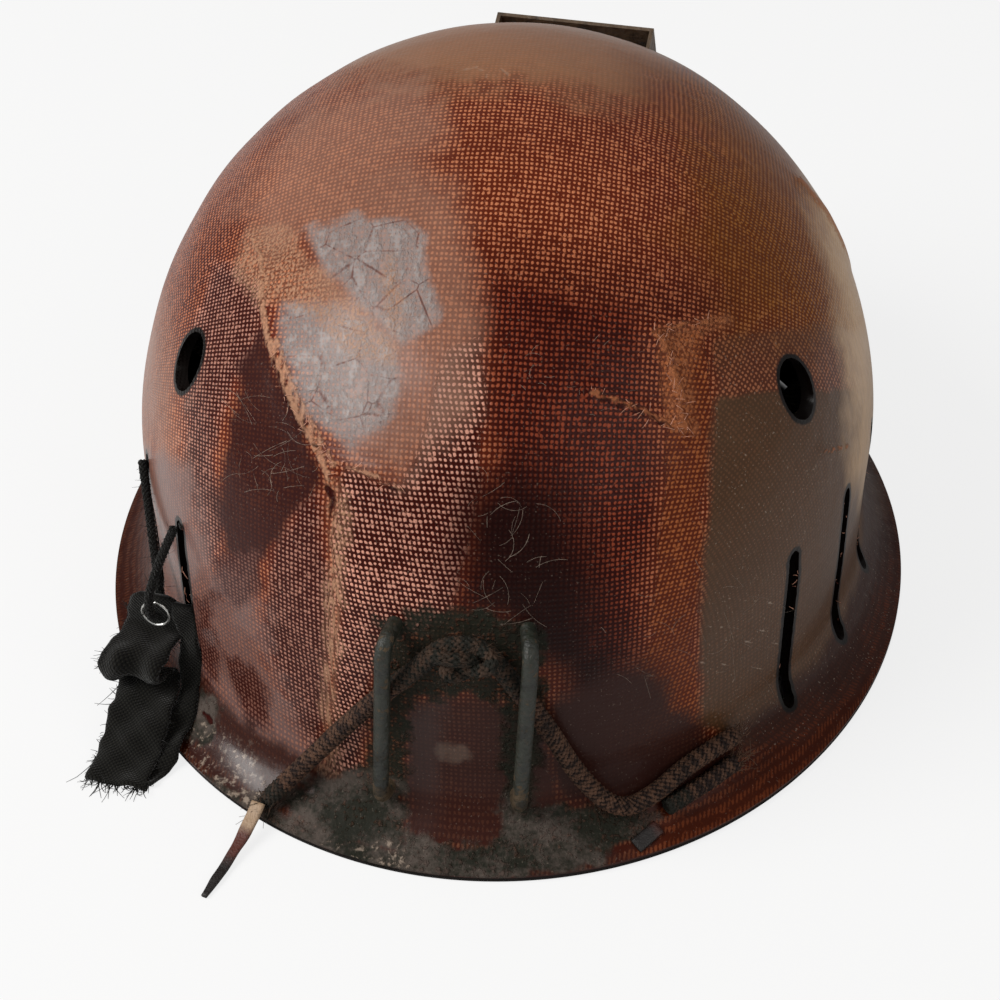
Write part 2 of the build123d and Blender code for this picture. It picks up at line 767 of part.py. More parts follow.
# Nape band: slides back along the headband's straight sides, guided by two studs in its slots
nape_floor = band_floor + nape_lift
slot_length = nape_travel + stud_shank + 2 * hole_gap
with BuildPart() as nape_band:
    add(oval_band(nape_floor, nape_tall, -nape_gap - nape_thick, -nape_gap))
    with BuildSketch(Plane.XY.offset(nape_floor)):
        with Locations((0, nape_front + cut_length / 2)):
            Rectangle(cut_width, cut_length)
    extrude(amount=nape_tall, mode=Mode.SUBTRACT)
    for plane in stud_planes:
        slot_origin = plane.origin + Vector(0, nape_travel / 2, 0)
        with BuildSketch(Plane(origin=slot_origin, x_dir=(0, 1, 0), z_dir=plane.z_dir)):
            SlotOverall(slot_length, stud_shank + 2 * hole_gap)
        extrude(amount=nape_gap + nape_thick + overrun, mode=Mode.SUBTRACT)

# Studs: fixed in the headband, with heads outside the nape band
stud_reach = nape_gap + nape_thick + seat_gap
with BuildPart() as size_studs:
    for plane in stud_planes:
        with BuildSketch(plane.offset(-band_thick + seat_gap)):
            Circle(stud_shank / 2)
        extrude(amount=band_thick - seat_gap + stud_reach)
        with BuildSketch(plane.offset(stud_reach)):
            Circle(stud_head / 2)
        extrude(amount=stud_rise)

# Soft pad inside the nape band, behind the headband's ends
nape_pad_face = -nape_gap + soft_gap
with BuildPart() as nape_pad:
    add(oval_band(nape_floor + nape_pad_margin, nape_tall - 2 * nape_pad_margin, nape_pad_face,
                  nape_pad_face + nape_pad_thick))
    with BuildSketch(Plane.XY.offset(nape_floor + nape_pad_margin)):
        with Locations((0, band_rear_centre - nape_pad_margin + cut_length / 2)):
            Rectangle(cut_width, cut_length)
    extrude(amount=nape_tall, mode=Mode.SUBTRACT)

pieces = {
    "shell": shell,
    "lamp_bracket": lamp_bracket,
    "bracket_rivets": bracket_rivets,
    "bracket_washers": bracket_washers,
    "cable_keeper_left": cable_keeper_left,
    "cable_keeper_right": cable_keeper_right,
    "keeper_washers": keeper_washers,
    "hat_cord": hat_cord,
    "cord_tail": cord_tail,
    "thong_left": thong_left,
    "thong_right": thong_right,
    "chin_strap": chin_strap,
    "strap_grommet": strap_grommet,
    "strap_lace": strap_lace,
    "lace_inside": lace_inside,
    "hanger_pads": hanger_pads,
    "hanger_hooks": hanger_hooks,
    "crown_lace": crown_lace,
    "headband": headband,
    "sweatband": sweatband,
    "headband_rivets": headband_rivets,
    "nape_band": nape_band,
    "size_studs": size_studs,
    "nape_pad": nape_pad,
}
for number, cradle_arm in enumerate(cradle_arms, 1):
    pieces[f"cradle_arm_{number}"] = cradle_arm

os.makedirs("parts", exist_ok=True)
for label, piece in pieces.items():
    piece.part.label = label
    export_step(piece.part, f"parts/{label}.step")
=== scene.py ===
"""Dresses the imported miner's helmet: worn resin and canvas, painted metal, braided cord, black strap.

Lengths in the properties are metres. The helper tables of pixels are places in the 1000 x 1000 photograph,
cast onto the shell by the photograph's camera.
"""

from functools import partial
from math import asin, atan2, ceil, cos, degrees, hypot, pi, radians, sin, sqrt

import bpy
import numpy as np
from bpy.props import FloatProperty, FloatVectorProperty, PointerProperty
from mathutils import Matrix, Vector


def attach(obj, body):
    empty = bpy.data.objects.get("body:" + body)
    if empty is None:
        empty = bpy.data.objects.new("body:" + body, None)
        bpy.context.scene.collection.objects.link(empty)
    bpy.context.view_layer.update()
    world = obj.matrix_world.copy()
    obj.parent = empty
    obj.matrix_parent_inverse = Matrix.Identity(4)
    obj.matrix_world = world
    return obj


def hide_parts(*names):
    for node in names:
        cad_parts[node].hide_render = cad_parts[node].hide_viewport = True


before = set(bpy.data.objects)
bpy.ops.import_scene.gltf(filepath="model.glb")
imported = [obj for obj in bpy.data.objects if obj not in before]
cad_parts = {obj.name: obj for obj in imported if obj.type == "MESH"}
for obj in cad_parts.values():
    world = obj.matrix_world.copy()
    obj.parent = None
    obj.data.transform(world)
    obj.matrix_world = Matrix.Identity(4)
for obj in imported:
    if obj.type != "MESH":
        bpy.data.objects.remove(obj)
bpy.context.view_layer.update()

bl_info = {
    "name": "Miner helmet",
    "version": (1, 0, 0),
    "blender": (4, 5, 0),
    "location": "View3D > Sidebar > Helmet",
    "description": "Builds the looks of a worn miner's helmet round its packed frame",
    "category": "Object",
}

MM = 0.001
SEED = 7

# The shell, as in the part's source, in millimetres
HALF_WIDTH, HALF_LENGTH, HEIGHT, WALL_TOP, WALL = 108.0, 128.0, 159.0, 54.0, 3.2
FLARE_CENTRE, FLARE_HEIGHT, FLARE_RADIUS, LIP = 130.0, 23.31, 22.0, 2.52
DOME_RISE = HEIGHT - WALL_TOP
SLOT_ANGLES, SLOT_WIDTH, SLOT_FLOOR, SLOT_TOP = (50.3, 65.6, 80.6), 5.4, 10.6, 65.0
VENT_ANGLE, VENT_HEIGHT, VENT_WIDTH, VENT_LENGTH = 57.5, 103.0, 14.0, 17.0
# About how far the headband's stitches lie from the middle, in metres
BAND_REACH = 0.083
# How deep behind an opening's plane its edge is looked for, in millimetres
OPENING_REACH = 30
# Radii on which the sheets of threads are laid at the rear and at the sides, in millimetres
REAR_UP, REAR_ACROSS, SIDE_UP, SIDE_ACROSS = 116, 135, 106, 165
# How many threads run one way in a pitch of those that run the other way
ROW_SHARE = 0.86
# Half-width of the floor in metres, and width of the camera's sensor in millimetres
FLOOR_REACH, SENSOR = 8.0, 36.0

# The photograph's camera
CAMERA_PLACE = np.array((42.66, -495.59, 405.52))
CAMERA_RIGHT = np.array((0.99617, 0.08722, -0.00589))
CAMERA_UP = np.array((-0.04940, 0.61729, 0.78519))
CAMERA_AHEAD = np.array((-0.07212, 0.78189, -0.61923))
CAMERA_FOCUS = 2012.0
PHOTO_MIDDLE = 500.0


def paint(red, green, blue):
    """Scene colour of a tone given in the 0 to 255 steps of a screen."""
    steps = [value / 255 for value in (red, green, blue)]
    return tuple(v / 12.92 if v <= 0.04045 else ((v + 0.055) / 1.055) ** 2.4 for v in steps)


def darker(tone, factor):
    return [value * factor for value in tone]


# Sizes and colours that a user would change


def length(name, description, default):
    return FloatProperty(
        name=name, description=description, default=default, min=0.0, unit="LENGTH", precision=5
    )


def tone(name, description, *steps):
    return FloatVectorProperty(
        name=name, description=description, default=paint(*steps), size=3, min=0.0, max=1.0, subtype="COLOR"
    )


def share(name, description, default):
    return FloatProperty(
        name=name, description=description, default=default, min=0.0, max=1.0, subtype="FACTOR"
    )


def power(name, description, default):
    return FloatProperty(name=name, description=description, default=default, unit="POWER")


class HelmetShellSettings(bpy.types.PropertyGroup):
    thread_pitch: length("Thread pitch", "Distance between thread tops of the canvas", 0.00127)
    weave_depth: length("Weave depth", "Height of the thread tops under the resin", 0.00012)
    crease_height: length("Crease height", "How far the torn creases stand up", 0.0009)
    ground: tone("Ground", "Resin between the threads", 88, 30, 12)
    threads: tone("Threads", "Thread tops over most of the shell", 188, 116, 80)
    crown: tone("Crown", "Rubbed smooth top", 136, 94, 66)
    ochre: tone("Ochre", "Yellowed upper right", 102, 49, 6)
    ochre_threads: tone("Ochre threads", "Thread tops of the yellowed upper right", 160, 102, 40)
    dark: tone("Dark weave", "Dark middle of the back", 48, 7, 2)
    dark_threads: tone("Dark weave threads", "Thread tops in the dark middle", 138, 62, 38)
    sunk: tone("Sunk", "Near-black low in the middle of the back", 18, 2, 1)
    red: tone("Red weave", "Ground of the side sheet round the left vent", 52, 10, 4)
    # Painted highlight along the right edge of the shell
    pink: tone("Pink threads", "Thread tops of the pale bands", 224, 160, 138)
    glow: tone("Edge glow", "Pale brown of the right edge", 188, 154, 118)
    orange: tone("Orange weave", "Band at the right of the back", 86, 34, 12)
    orange_threads: tone("Orange threads", "Thread tops of that band", 158, 88, 46)
    ember: tone("Ember", "Red-brown of the brim's right edge", 112, 46, 12)
    maroon: tone("Maroon", "Smooth patches under the creases", 46, 20, 18)
    scuff: tone("Scuff", "Grey rubbed patches", 152, 142, 139)
    scar: tone("Scar", "Bare canvas of the torn creases", 178, 134, 106)
    # Pale tan of rubbed smooth canvas, which also holds painted sheen and highlight at the upper left and
    # along the left edge
    tan: tone("Tan", "Rubbed pale brown between the patches", 150, 112, 94)
    # Greyish smooth patches low at the left, with painted sheen over them and along the left edge
    grey_patch_and_sheen: tone("Haze", "Greyish pink low at the left", 104, 80, 76)
    # Also the band round the slots and vents, which is painted shade of their cut edges with their dark
    # stain
    inside: tone("Inside", "Dark inner face and the cut edges", 14, 8, 6)
    wall: tone("Wall", "Smooth grey-brown right wall", 74, 54, 36)
    stain: tone("Stain", "Green-black stain round the keepers", 32, 34, 27)
    film: tone("Film", "Grey film over the stain on the brim", 92, 82, 76)
    purple: tone("Purple", "Purple-brown low on the back", 48, 26, 22)
    brim: tone("Brim", "Deep red-brown of the brim", 42, 11, 2)
    # Also paints the highlight on the glossy scuffs low at the left
    pale: tone("Pale", "Scratches and dust", 196, 178, 160)


class HelmetMetalSettings(bpy.types.PropertyGroup):
    paint_green: tone("Keeper paint", "Dark green paint of the keepers", 36, 40, 30)
    bare: tone("Bare metal", "Metal and rust where the paint has gone", 78, 64, 46)
    bracket: tone("Bracket paint", "Dark paint of the lamp bracket", 98, 78, 58)
    steel: tone("Steel", "Dull steel of rivets, washers and hooks", 120, 114, 106)
    eyelet: tone("Eyelet", "Grey eyelet of the strap", 206, 206, 202)
    brass: tone("Brass", "Tarnished rivets of the headband", 138, 112, 62)


class HelmetCordSettings(bpy.types.PropertyGroup):
    cord_width: length("Cord width", "Width of the braided cord", 0.0048)
    strand_width: length("Strand width", "Width of one strand of the braid", 0.00112)
    braid_pitch: length("Braid pitch", "Length in which a strand goes once round", 0.013)
    knot_width: length("Knot cord width", "Width of the cord pulled tight in the knot", 0.0034)
    thong_width: length("Thong width", "Width of the flat thong", 0.0042)
    thong_thick: length("Thong thickness", "Thickness of the flat thong", 0.001)
    cord_dark: tone("Cord", "Dark strands of the cord", 26, 13, 8)
    # Pale rubbed wear and painted highlight on the high strands
    cord_rubbed_and_highlight: tone("Cord highlights", "Rubbed strands of the cord", 104, 74, 56)
    cord_stain: tone("Cord stain", "Green-black middle and knot", 24, 24, 17)
    thong: tone("Thong", "Brown leather of the thong", 84, 40, 30)
    thong_pale: tone("Thong top", "Beige upper end of the thong", 160, 134, 108)
    thong_black: tone("Thong tip", "Black tip of the thong", 22, 16, 14)


class HelmetStrapSettings(bpy.types.PropertyGroup):
    strap_width: length("Strap width", "Width of the strap", 0.018)
    strap_thick: length("Strap thickness", "Thickness of the strap", 0.0016)
    eyelet_width: length("Eyelet width", "Outside width of the eyelet", 0.0094)
    eyelet_bore: length("Eyelet bore", "Inside width of the eyelet", 0.0068)
    lace_width: length("Lace width", "Width of the strap's lace", 0.0024)
    cloth: tone("Strap cloth", "Near-black cloth", 8, 7, 5)
    cloth_light: tone("Strap threads", "Worn threads of the cloth", 38, 37, 30)
    lace: tone("Lace", "Near-black lace", 9, 8, 6)


class HelmetCradleSettings(bpy.types.PropertyGroup):
    webbing: tone("Webbing", "Cotton webbing of the cradle", 128, 112, 84)
    webbing_dark: tone("Webbing ground", "Shade between the webbing's threads", 66, 54, 38)
    band: tone("Band", "Stiff leather of the headband", 84, 52, 34)
    lining: tone("Lining", "Soft leather of the sweatband and the pad", 112, 76, 52)
    stitch: tone("Stitch", "Waxed sewing thread", 176, 158, 122)
    stitch_length: length("Stitch length", "Length of one stitch", 0.003)


class HelmetStageSettings(bpy.types.PropertyGroup):
    floor: tone("Floor", "Pale floor", 226, 226, 226)
    paper: tone("Paper", "Tone that the camera sees the floor in", 255, 255, 255)
    evenness: share("Evenness", "How far the camera sees the floor in that tone", 0.8)
    sky: share("Sky", "Brightness of the even light from all sides", 0.3)
    key: power("Key lamp", "Power of the soft lamp at the left", 26.0)
    fill: power("Fill lamp", "Power of the soft lamp at the right", 8.0)


# Materials


class Value:
    """A socket in a finish's graph; arithmetic on it adds Math nodes."""

    def __init__(self, finish, socket):
        self.finish = finish
        self.socket = socket

    def math(self, operation, *others):
        inputs = dict(enumerate((self, *others)))
        return self.finish.node("ShaderNodeMath", {"operation": operation}, inputs)

    def __add__(self, other):
        return self.math("ADD", other)

    __radd__ = __add__

    def __mul__(self, other):
        return self.math("MULTIPLY", other)

    __rmul__ = __mul__

    def __sub__(self, other):
        return self.math("SUBTRACT", other)

    def __rsub__(self, other):
        return self.finish.node("ShaderNodeMath", {"operation": "SUBTRACT"}, {0: other, 1: self})

    def sine(self):
        return self.math("SINE")

    def largest(self, other):
        return self.math("MAXIMUM", other)

    def split(self):
        """The three parts of a vector."""
        first = self.finish.node("ShaderNodeSeparateXYZ", inputs={0: self})
        return [Value(self.finish, socket) for socket in first.socket.node.outputs]

    def step(self, low, high):
        """0 below low, 1 above high and smooth between."""
        inputs = {"Value": self, "From Min": low, "From Max": high}
        return self.finish.node("ShaderNodeMapRange", {"interpolation_type": "SMOOTHSTEP"}, inputs)


class Finish:
    """A material's graph, with one method that adds any node."""

    def __init__(self, name, world=None):
        self.material = world or bpy.data.materials.new(name)
        self.material.use_nodes = True
        self.tree = self.material.node_tree
        self.tree.nodes.clear()
        self.place = self.node("ShaderNodeTexCoord", output="Object")

    def node(self, kind, settings=None, inputs=None, output=0):
        made = self.tree.nodes.new(kind)
        for name, value in (settings or {}).items():
            setattr(made, name, value)
        for name, value in (inputs or {}).items():
            if isinstance(value, Value):
                self.tree.links.new(value.socket, made.inputs[name])
            else:
                made.inputs[name].default_value = value
        return None if output is None else Value(self, made.outputs[output])

    def field(self, name):
        """A number kept on the mesh's points."""
        return self.node("ShaderNodeAttribute", {"attribute_name": name}, output="Fac")

    def parts(self, name):
        """The two numbers of a place on a sheet, kept on the mesh's points."""
        return self.node("ShaderNodeAttribute", {"attribute_name": name}, output="Vector").split()[:2]

    def cells(self, scale):
        """Distance to the edges of a pattern of cells."""
        inputs = {"Vector": self.place, "Scale": scale}
        return self.node("ShaderNodeTexVoronoi", {"feature": "DISTANCE_TO_EDGE"}, inputs)

    def noise(self, scale, detail=3.0, stretch=(1, 1, 1), rough=0.55):
        place = self.node("ShaderNodeMapping", inputs={"Vector": self.place, "Scale": stretch})
        inputs = {"Vector": place, "Scale": scale, "Detail": detail, "Roughness": rough}
        return self.node("ShaderNodeTexNoise", inputs=inputs)

    def mix(self, first, second, factor):
        """Colour between two colours."""
        inputs = {
            0: factor,
            6: first if isinstance(first, Value) else (*first, 1),
            7: second if isinstance(second, Value) else (*second, 1),
        }
        return self.node("ShaderNodeMix", {"data_type": "RGBA"}, inputs, output=2)

    def layers(self, colour, *layers):
        """Colour under several layers, each a colour and how much of it shows."""
        for layer, factor in layers:
            colour = self.mix(colour, layer, factor)
        return colour

    def dim(self, colour, factor):
        """Colour times a number."""
        return self.node("ShaderNodeVectorMath", {"operation": "SCALE"}, {0: colour, "Scale": factor})

    def bump(self, height, distance=1.0, strength=1.0):
        inputs = {"Height": height, "Distance": distance, "Strength": strength}
        return self.node("ShaderNodeBump", inputs=inputs, output="Normal")

    def cover(self, **inputs):
        """Ends the graph in a Principled shader with these sockets."""
        named = {name.replace("_", " "): value for name, value in inputs.items()}
        colour = named["Base Color"]
        named["Base Color"] = colour if isinstance(colour, Value) else (*colour, 1)
        self.shader = self.node("ShaderNodeBsdfPrincipled", inputs=named)
        out = self.tree.nodes.new("ShaderNodeOutputMaterial")
        self.tree.links.new(self.shader.socket, out.inputs["Surface"])
        return self.material

    def brighten(self, tone, amount):
        """Evens out the covered face towards a tone, for the camera alone."""
        rays = self.node("ShaderNodeLightPath", output="Is Camera Ray")
        glow = self.node("ShaderNodeEmission", inputs={"Color": (*tone, 1), "Strength": 1.0})
        mixed = self.node("ShaderNodeMixShader", inputs={0: rays * amount, 1: self.shader, 2: glow})
        self.tree.links.new(mixed.socket, self.tree.nodes["Material Output"].inputs["Surface"])


def shell_finish(look):
    """Glossy dark resin over canvas, with the bands, scuffs, tears and stains of the photograph, and painted
    sheen, highlights and shade in the creases and round the openings.
    """
    made = Finish("shell_resin")
    fine = made.noise(900, 2)
    grain = made.noise(260, 4)
    blotch = made.noise(70, 4)
    cloud = made.noise(22, 3)
    streak = made.noise(700, 3, (1, 1, 0.12))
    wander = (grain - 0.5) * 16 + (blotch - 0.5) * 46

    def zone(name, soft=2.5, ragged=1.0):
        return (made.field(name) + wander * ragged).step(-soft, soft)

    crown, ochre, dark = zone("crown", 30, 1.5), zone("ochre", 50, 2), zone("dark", 24, 1.1)
    dusk, rubbed = zone("dusk", 38, 1.2), zone("rubbed", 24, 1.0)
    red, pale_band, orange = zone("red_left", 9, 0.8), zone("pale_band", 7, 0.5), zone("orange_band", 7, 0.5)
    maroon, scuffed, bare = zone("maroon", 9, 0.9), zone("scuff", 7, 0.8), zone("bare_band", 8, 0.8)
    wall, low, grey_patch_and_sheen = zone("wall", 7, 0.45), zone("low", 14, 1.0), zone("grey_patch_and_sheen", 14, 0.9)
    brim, worn, gloss = zone("brim", 8, 0.6), zone("worn_patch", 4, 0.7), zone("glossy_scuff_highlight", 7, 1.0)
    stain = (made.field("stain") + (grain - 0.5) * 40 + (blotch - 0.5) * 40).step(-6, 7)
    scar = (made.field("scar") + (grain - 0.5) * 5 + (fine - 0.5) * 5).step(-1.4, 1.2)
    torn = made.mix(look.scar, look.orange_threads, made.place.split()[0].step(-0.01, 0.02) * 0.8)
    crease_shade_and_cuts = (made.field("crease_shade_and_cuts") + (grain - 0.5) * 5).step(-1.0, 1.0)
    scratch = (made.field("scratch") + (grain - 0.5) * 4 + (fine - 0.5) * 2).step(-0.5, 0.5)
    speck = made.noise(1500, 1).step(0.68, 0.75)
    inside = made.field("inside").step(0.3, 0.6)

    turn = 2 * pi / look.thread_pitch
    sway = (blotch - 0.5) * 0.0012 + (grain - 0.5) * 0.0003

    def threads(sheet, slant):
        across, along = made.parts(sheet)
        across, along = across + along * slant + sway, along + sway
        return ((across * turn).sine() * 0.5 + 0.5) * ((along * ROW_SHARE * turn).sine() * 0.5 + 0.5)

    on_side = zone("side_sheet", 1.5, 0.3)
    slant = zone("pale_band", 0.6, 0.5) * 0.2 - zone("orange_band", 0.6, 0.5) * 0.2
    weave = threads("rear_cloth", slant) * (1 - on_side) + threads("side_cloth", 0.06) * on_side
    dots = (weave + (fine - 0.5) * 1.7 + (grain - 0.5) * 0.8).step(0.16, 0.72)
    cracks = 1 - (made.cells(95) + (grain - 0.5) * 0.06).step(0.0, 0.035)
    cracks = cracks * (blotch + (fine - 0.5) * 0.4).step(0.42, 0.6)

    side = red.largest(pale_band)
    ground = made.layers(
        look.ground, (look.crown, crown), (look.ochre, ochre * 0.85),
        (look.dark, (dusk * 0.7).largest(dark)), (look.red, side), (look.orange, orange * 0.6),
    )
    thread = made.layers(
        look.threads, (look.crown, crown * 0.6), (look.ochre_threads, ochre * 0.9),
        (look.dark_threads, (dusk * 0.5).largest(dark)), (look.pink, side), (look.orange_threads, orange),
    )
    fading = zone("sunk", 44, 1.0)
    shown = (0.98 - 0.6 * crown - 0.8 * fading - 0.48 * red) * (0.45 + cloud)
    rumple = made.noise(330, 5, (1, 0.5, 1), 0.7).step(0.4, 0.62)
    threadbare = made.noise(1500, 2, (1, 1, 0.09)).step(0.42, 0.62)
    crust = (made.noise(520, 3) * 0.6 + fine * 0.4 + (cloud - 0.5) * 0.3).step(0.5, 0.62)
    film = brim * (blotch + (fine - 0.5) * 0.3).step(0.4, 0.66) * 0.8
    colour = made.layers(
        ground,
        (thread, dots * shown),
        (look.sunk, fading * 0.85),
        # Rubbed smooth canvas, paler with painted sheen and highlight at the upper left and along the left
        # edge
        (look.tan, rubbed * (0.34 + 0.35 * streak)),
        (made.mix(look.maroon, look.red, dots * 0.5), maroon * (1 - 0.1 * cloud)),
        (look.wall, wall * (0.82 + 0.16 * grain) * (1 - 0.6 * zone("upper_wall", 4, 0.3))),
        # Painted highlight along the right edge
        (look.glow, zone("edge_highlight", 16, 0.6) * (0.55 + 0.8 * streak)),
        # Greyish smooth patches low at the left, with painted sheen over them and along the left edge
        (look.grey_patch_and_sheen, grey_patch_and_sheen * (0.6 + 0.5 * cloud) * (1 - 0.25 * dots)),
        (made.mix(look.red, look.pink, dots * 0.2), zone("red_spot", 6, 0.9) * 0.9),
        (look.purple, low * (0.72 + 0.4 * cloud)),
        (made.mix(look.brim, look.orange, dots * 0.08), brim * (0.92 - 0.7 * low)),
        (look.ember, zone("ember", 20, 1.4) * (0.1 + 0.5 * fine * dots)),
        (look.scuff, scuffed * (0.5 + 0.35 * cloud + 0.35 * rumple) * (1 - 0.25 * dots)),
        (look.ground, cracks * scuffed * 0.75),
        (torn, bare * (0.16 + 0.62 * threadbare)),
        (look.pale, worn * 0.1),
        (made.mix(look.stain, look.film, film), stain * (0.96 - 0.25 * crust)),
        # Painted highlight on the glossy scuffs low at the left
        (look.pale, gloss * crust * 0.42),
        (torn, scar * (0.4 + 0.5 * fine)),
        # Dark lines of painted shade in the crease grooves, and of dark cuts
        (look.dark, crease_shade_and_cuts),
        (look.pale, scratch * (0.12 + 0.25 * wall)),
        (look.pale, speck * (0.1 + 0.2 * wall + 0.25 * scuffed)),
    )
    # Darker band round the slots and vents: painted shade of their cut edges, with their dark stain
    rim = (made.field("rim") + (grain - 0.5) * 1.2).step(-1.7, -0.9)
    colour = made.mix(made.dim(colour, 0.76 + 0.48 * cloud), look.inside, inside.largest(rim))

    smooth = maroon.largest(wall * 0.85).largest(crown * 0.7).largest(low * 0.8).largest(stain * 0.8)
    smooth = smooth.largest(brim * 0.9).largest(grey_patch_and_sheen * 0.75).largest(inside * 0.6).largest(rubbed * 0.55)
    relief = weave * (1 - smooth) * look.weave_depth + (grain - 0.5) * 0.00016 + (blotch - 0.5) * 0.0006
    relief = relief + scar * 0.0004 + stain * (crust * 0.0003 + (grain - 0.5) * 0.0006) - crease_shade_and_cuts * 0.0005
    relief = relief + bare * threadbare * 0.00016 - scratch * 0.00008 + scuffed * rumple * 0.0004
    rough = 0.31 + 0.14 * (cloud - 0.5) + 0.16 * scuffed + 0.32 * stain + 0.3 * scar
    coat = 0.05 + 0.3 * gloss + 0.2 * grey_patch_and_sheen + 0.16 * rubbed + 0.16 * wall + 0.12 * crown
    return made.cover(
        Base_Color=colour, Roughness=rough + 0.1 * speck + 0.4 * inside - 0.05 * maroon,
        Normal=made.bump(relief), IOR=1.32, Specular_IOR_Level=0.18, Coat_Roughness=0.18,
        Coat_Weight=coat * (1 - stain),
    )


def canvas_thread_finish(look):
    """Loose threads of the torn canvas."""
    made = Finish("canvas_thread")
    dirt = made.noise(300, 2).step(0.5, 0.7)
    colour = made.layers(look.scar, (look.pink, made.noise(700, 2)), (look.ground, dirt))
    return made.cover(Base_Color=colour, Roughness=0.8)


def chipped_finish(name, coat, bare, worn_below, rough=0.5):
    """Old paint on metal, chipped all over and worn away below a height."""
    made = Finish(name)
    height = made.place.split()[2]
    grain, lump = made.noise(420, 4), made.noise(110, 3)
    low = 1 - (height + (lump - 0.5) * 0.012).step(worn_below - 0.004, worn_below + 0.006)
    chip = (grain * 0.6 + lump * 0.4 + low * 0.16).step(0.585, 0.62)
    dirt = made.noise(900, 2).step(0.5, 0.8)
    colour = made.layers(
        coat, (darker(coat, 0.45), lump), (bare, chip), (paint(70, 48, 30), dirt * 0.4),
        (darker(coat, 0.25), made.noise(240, 4).step(0.5, 0.66) * 0.8),
    )
    relief = (lump - 0.5) * 0.001 + (grain - 0.5) * 0.0008 - chip * 0.00012
    return made.cover(
        Base_Color=colour, Roughness=rough + 0.25 * (grain - 0.5) + 0.1 * chip, Metallic=chip * 0.35,
        Normal=made.bump(relief),
    )


def metal_finish(name, base, rust=0.35, rough=0.42):
    """Dull metal with rust in its pits."""
    made = Finish(name)
    grain, lump = made.noise(600, 4), made.noise(190, 3)
    rusty = (grain * 0.5 + lump * 0.5).step(0.62 - rust * 0.3, 0.74 - rust * 0.3)
    colour = made.mix(base, paint(92, 58, 38), rusty * 0.8)
    return made.cover(
        Base_Color=colour, Metallic=1 - rusty * 0.85, Roughness=rough + 0.3 * rusty + 0.15 * (grain - 0.5),
        Normal=made.bump((grain - 0.5) * 0.00022),
    )


def cord_finish(name, look, stained=0.0):
    """Cotton braid, dirty, rubbed pale and with a painted highlight on its high strands."""
    made = Finish(name)
    fibre, wear = made.noise(2400, 2), made.noise(260, 3)
    # Tops of the strands: rubbed wear and painted highlight
    high = (made.field("rise") * 0.7 + wear * 0.9).step(0.8, 1.25)
    colour = made.mix(look.cord_dark, look.cord_rubbed_and_highlight, high * (0.2 + 0.9 * fibre))
    stain = (made.field("stained") + stained + (wear - 0.5) * 0.7).step(0.3, 0.6)
    colour = made.mix(colour, look.cord_stain, stain * (0.92 - 0.4 * high))
    return made.cover(
        Base_Color=colour, Roughness=0.72 + 0.15 * (fibre - 0.5), Normal=made.bump((fibre - 0.5) * 0.00035),
        Specular_IOR_Level=0.25,
    )


def thong_finish(look):
    """Flat thong: beige where it leaves the cord, brown over the brim and black at its tip."""
    made = Finish("thong_leather")
    _, along = made.parts("cloth")
    wear, fibre = made.noise(300, 4), made.noise(1800, 2, (1, 1, 0.3))
    run = along + (wear - 0.5) * 0.004
    colour = made.mix(look.thong_pale, look.thong, run.step(0.0062, 0.0102))
    colour = made.mix(colour, look.thong_black, run.step(0.0145, 0.0205))
    colour = made.mix(colour, look.thong_black, (wear * 0.5 + fibre * 0.5).step(0.5, 0.66) * 0.55)
    return made.cover(
        Base_Color=colour, Roughness=0.55 + 0.2 * (fibre - 0.5),
        Normal=made.bump((fibre - 0.5) * 0.0002 + (wear - 0.5) * 0.0004),
    )


def leather_finish(name, base, look, gloss=0.5, pores=1100, rows=()):
    """Leather with pores, creases, paler rubbed places and rows of stitches at these heights."""
    made = Finish(name)
    x, y, height = made.place.split()
    dash = (y.math("ARCTAN2", x) * (2 * pi * BAND_REACH / look.stitch_length)).sine().step(-0.4, -0.1)
    seam = sum(dash * (1 - (height - row).math("ABSOLUTE").step(0.0003, 0.0005)) for row in rows)
    pore = made.cells(pores)
    wear, streak = made.noise(120, 4), made.noise(320, 3, (1, 1, 0.3))
    rubbed = (wear * 0.6 + streak * 0.4).step(0.5, 0.72)
    colour = made.layers(
        base, (darker(base, 0.4), streak.step(0.35, 0.7)), (look.stitch, rubbed * 0.35), (look.stitch, seam)
    )
    return made.cover(
        Base_Color=colour, Roughness=gloss + 0.2 * (wear - 0.5) + 0.1 * rubbed,
        Normal=made.bump(pore.step(0.0, 0.2) * 0.00008 + (wear - 0.5) * 0.0003 + seam * 0.0003),
    )


def cloth_finish(name, ground, light, pitch, shown=0.55, sheen=0.2):
    """Woven cloth whose threads follow the numbers kept on the mesh."""
    made = Finish(name)
    across, along = made.parts("cloth")
    turn = 2 * pi / pitch
    weave = (across * turn).sine() * (along * turn).sine()
    fibre, wear = made.noise(1900, 2), made.noise(170, 4)
    dots = (weave + (fibre - 0.5)).step(0.0, 0.9)
    colour = made.mix(ground, light, dots * shown * (0.4 + 0.9 * wear))
    return made.cover(
        Base_Color=colour, Roughness=0.85, Sheen_Weight=sheen, Specular_IOR_Level=0.15,
        Normal=made.bump(weave * 0.00014 + (fibre - 0.5) * 0.0002 + (wear - 0.5) * 0.0006),
    )


# Mesh helpers


def keep_numbers(mesh, name, values):
    """Keeps a number or a place for each of the mesh's points."""
    values = np.asarray(values, np.float32)
    is_place = values.ndim == 2
    field = mesh.attributes.new(name, "FLOAT_VECTOR" if is_place else "FLOAT", "POINT")
    field.data.foreach_set("vector" if is_place else "value", values.ravel())


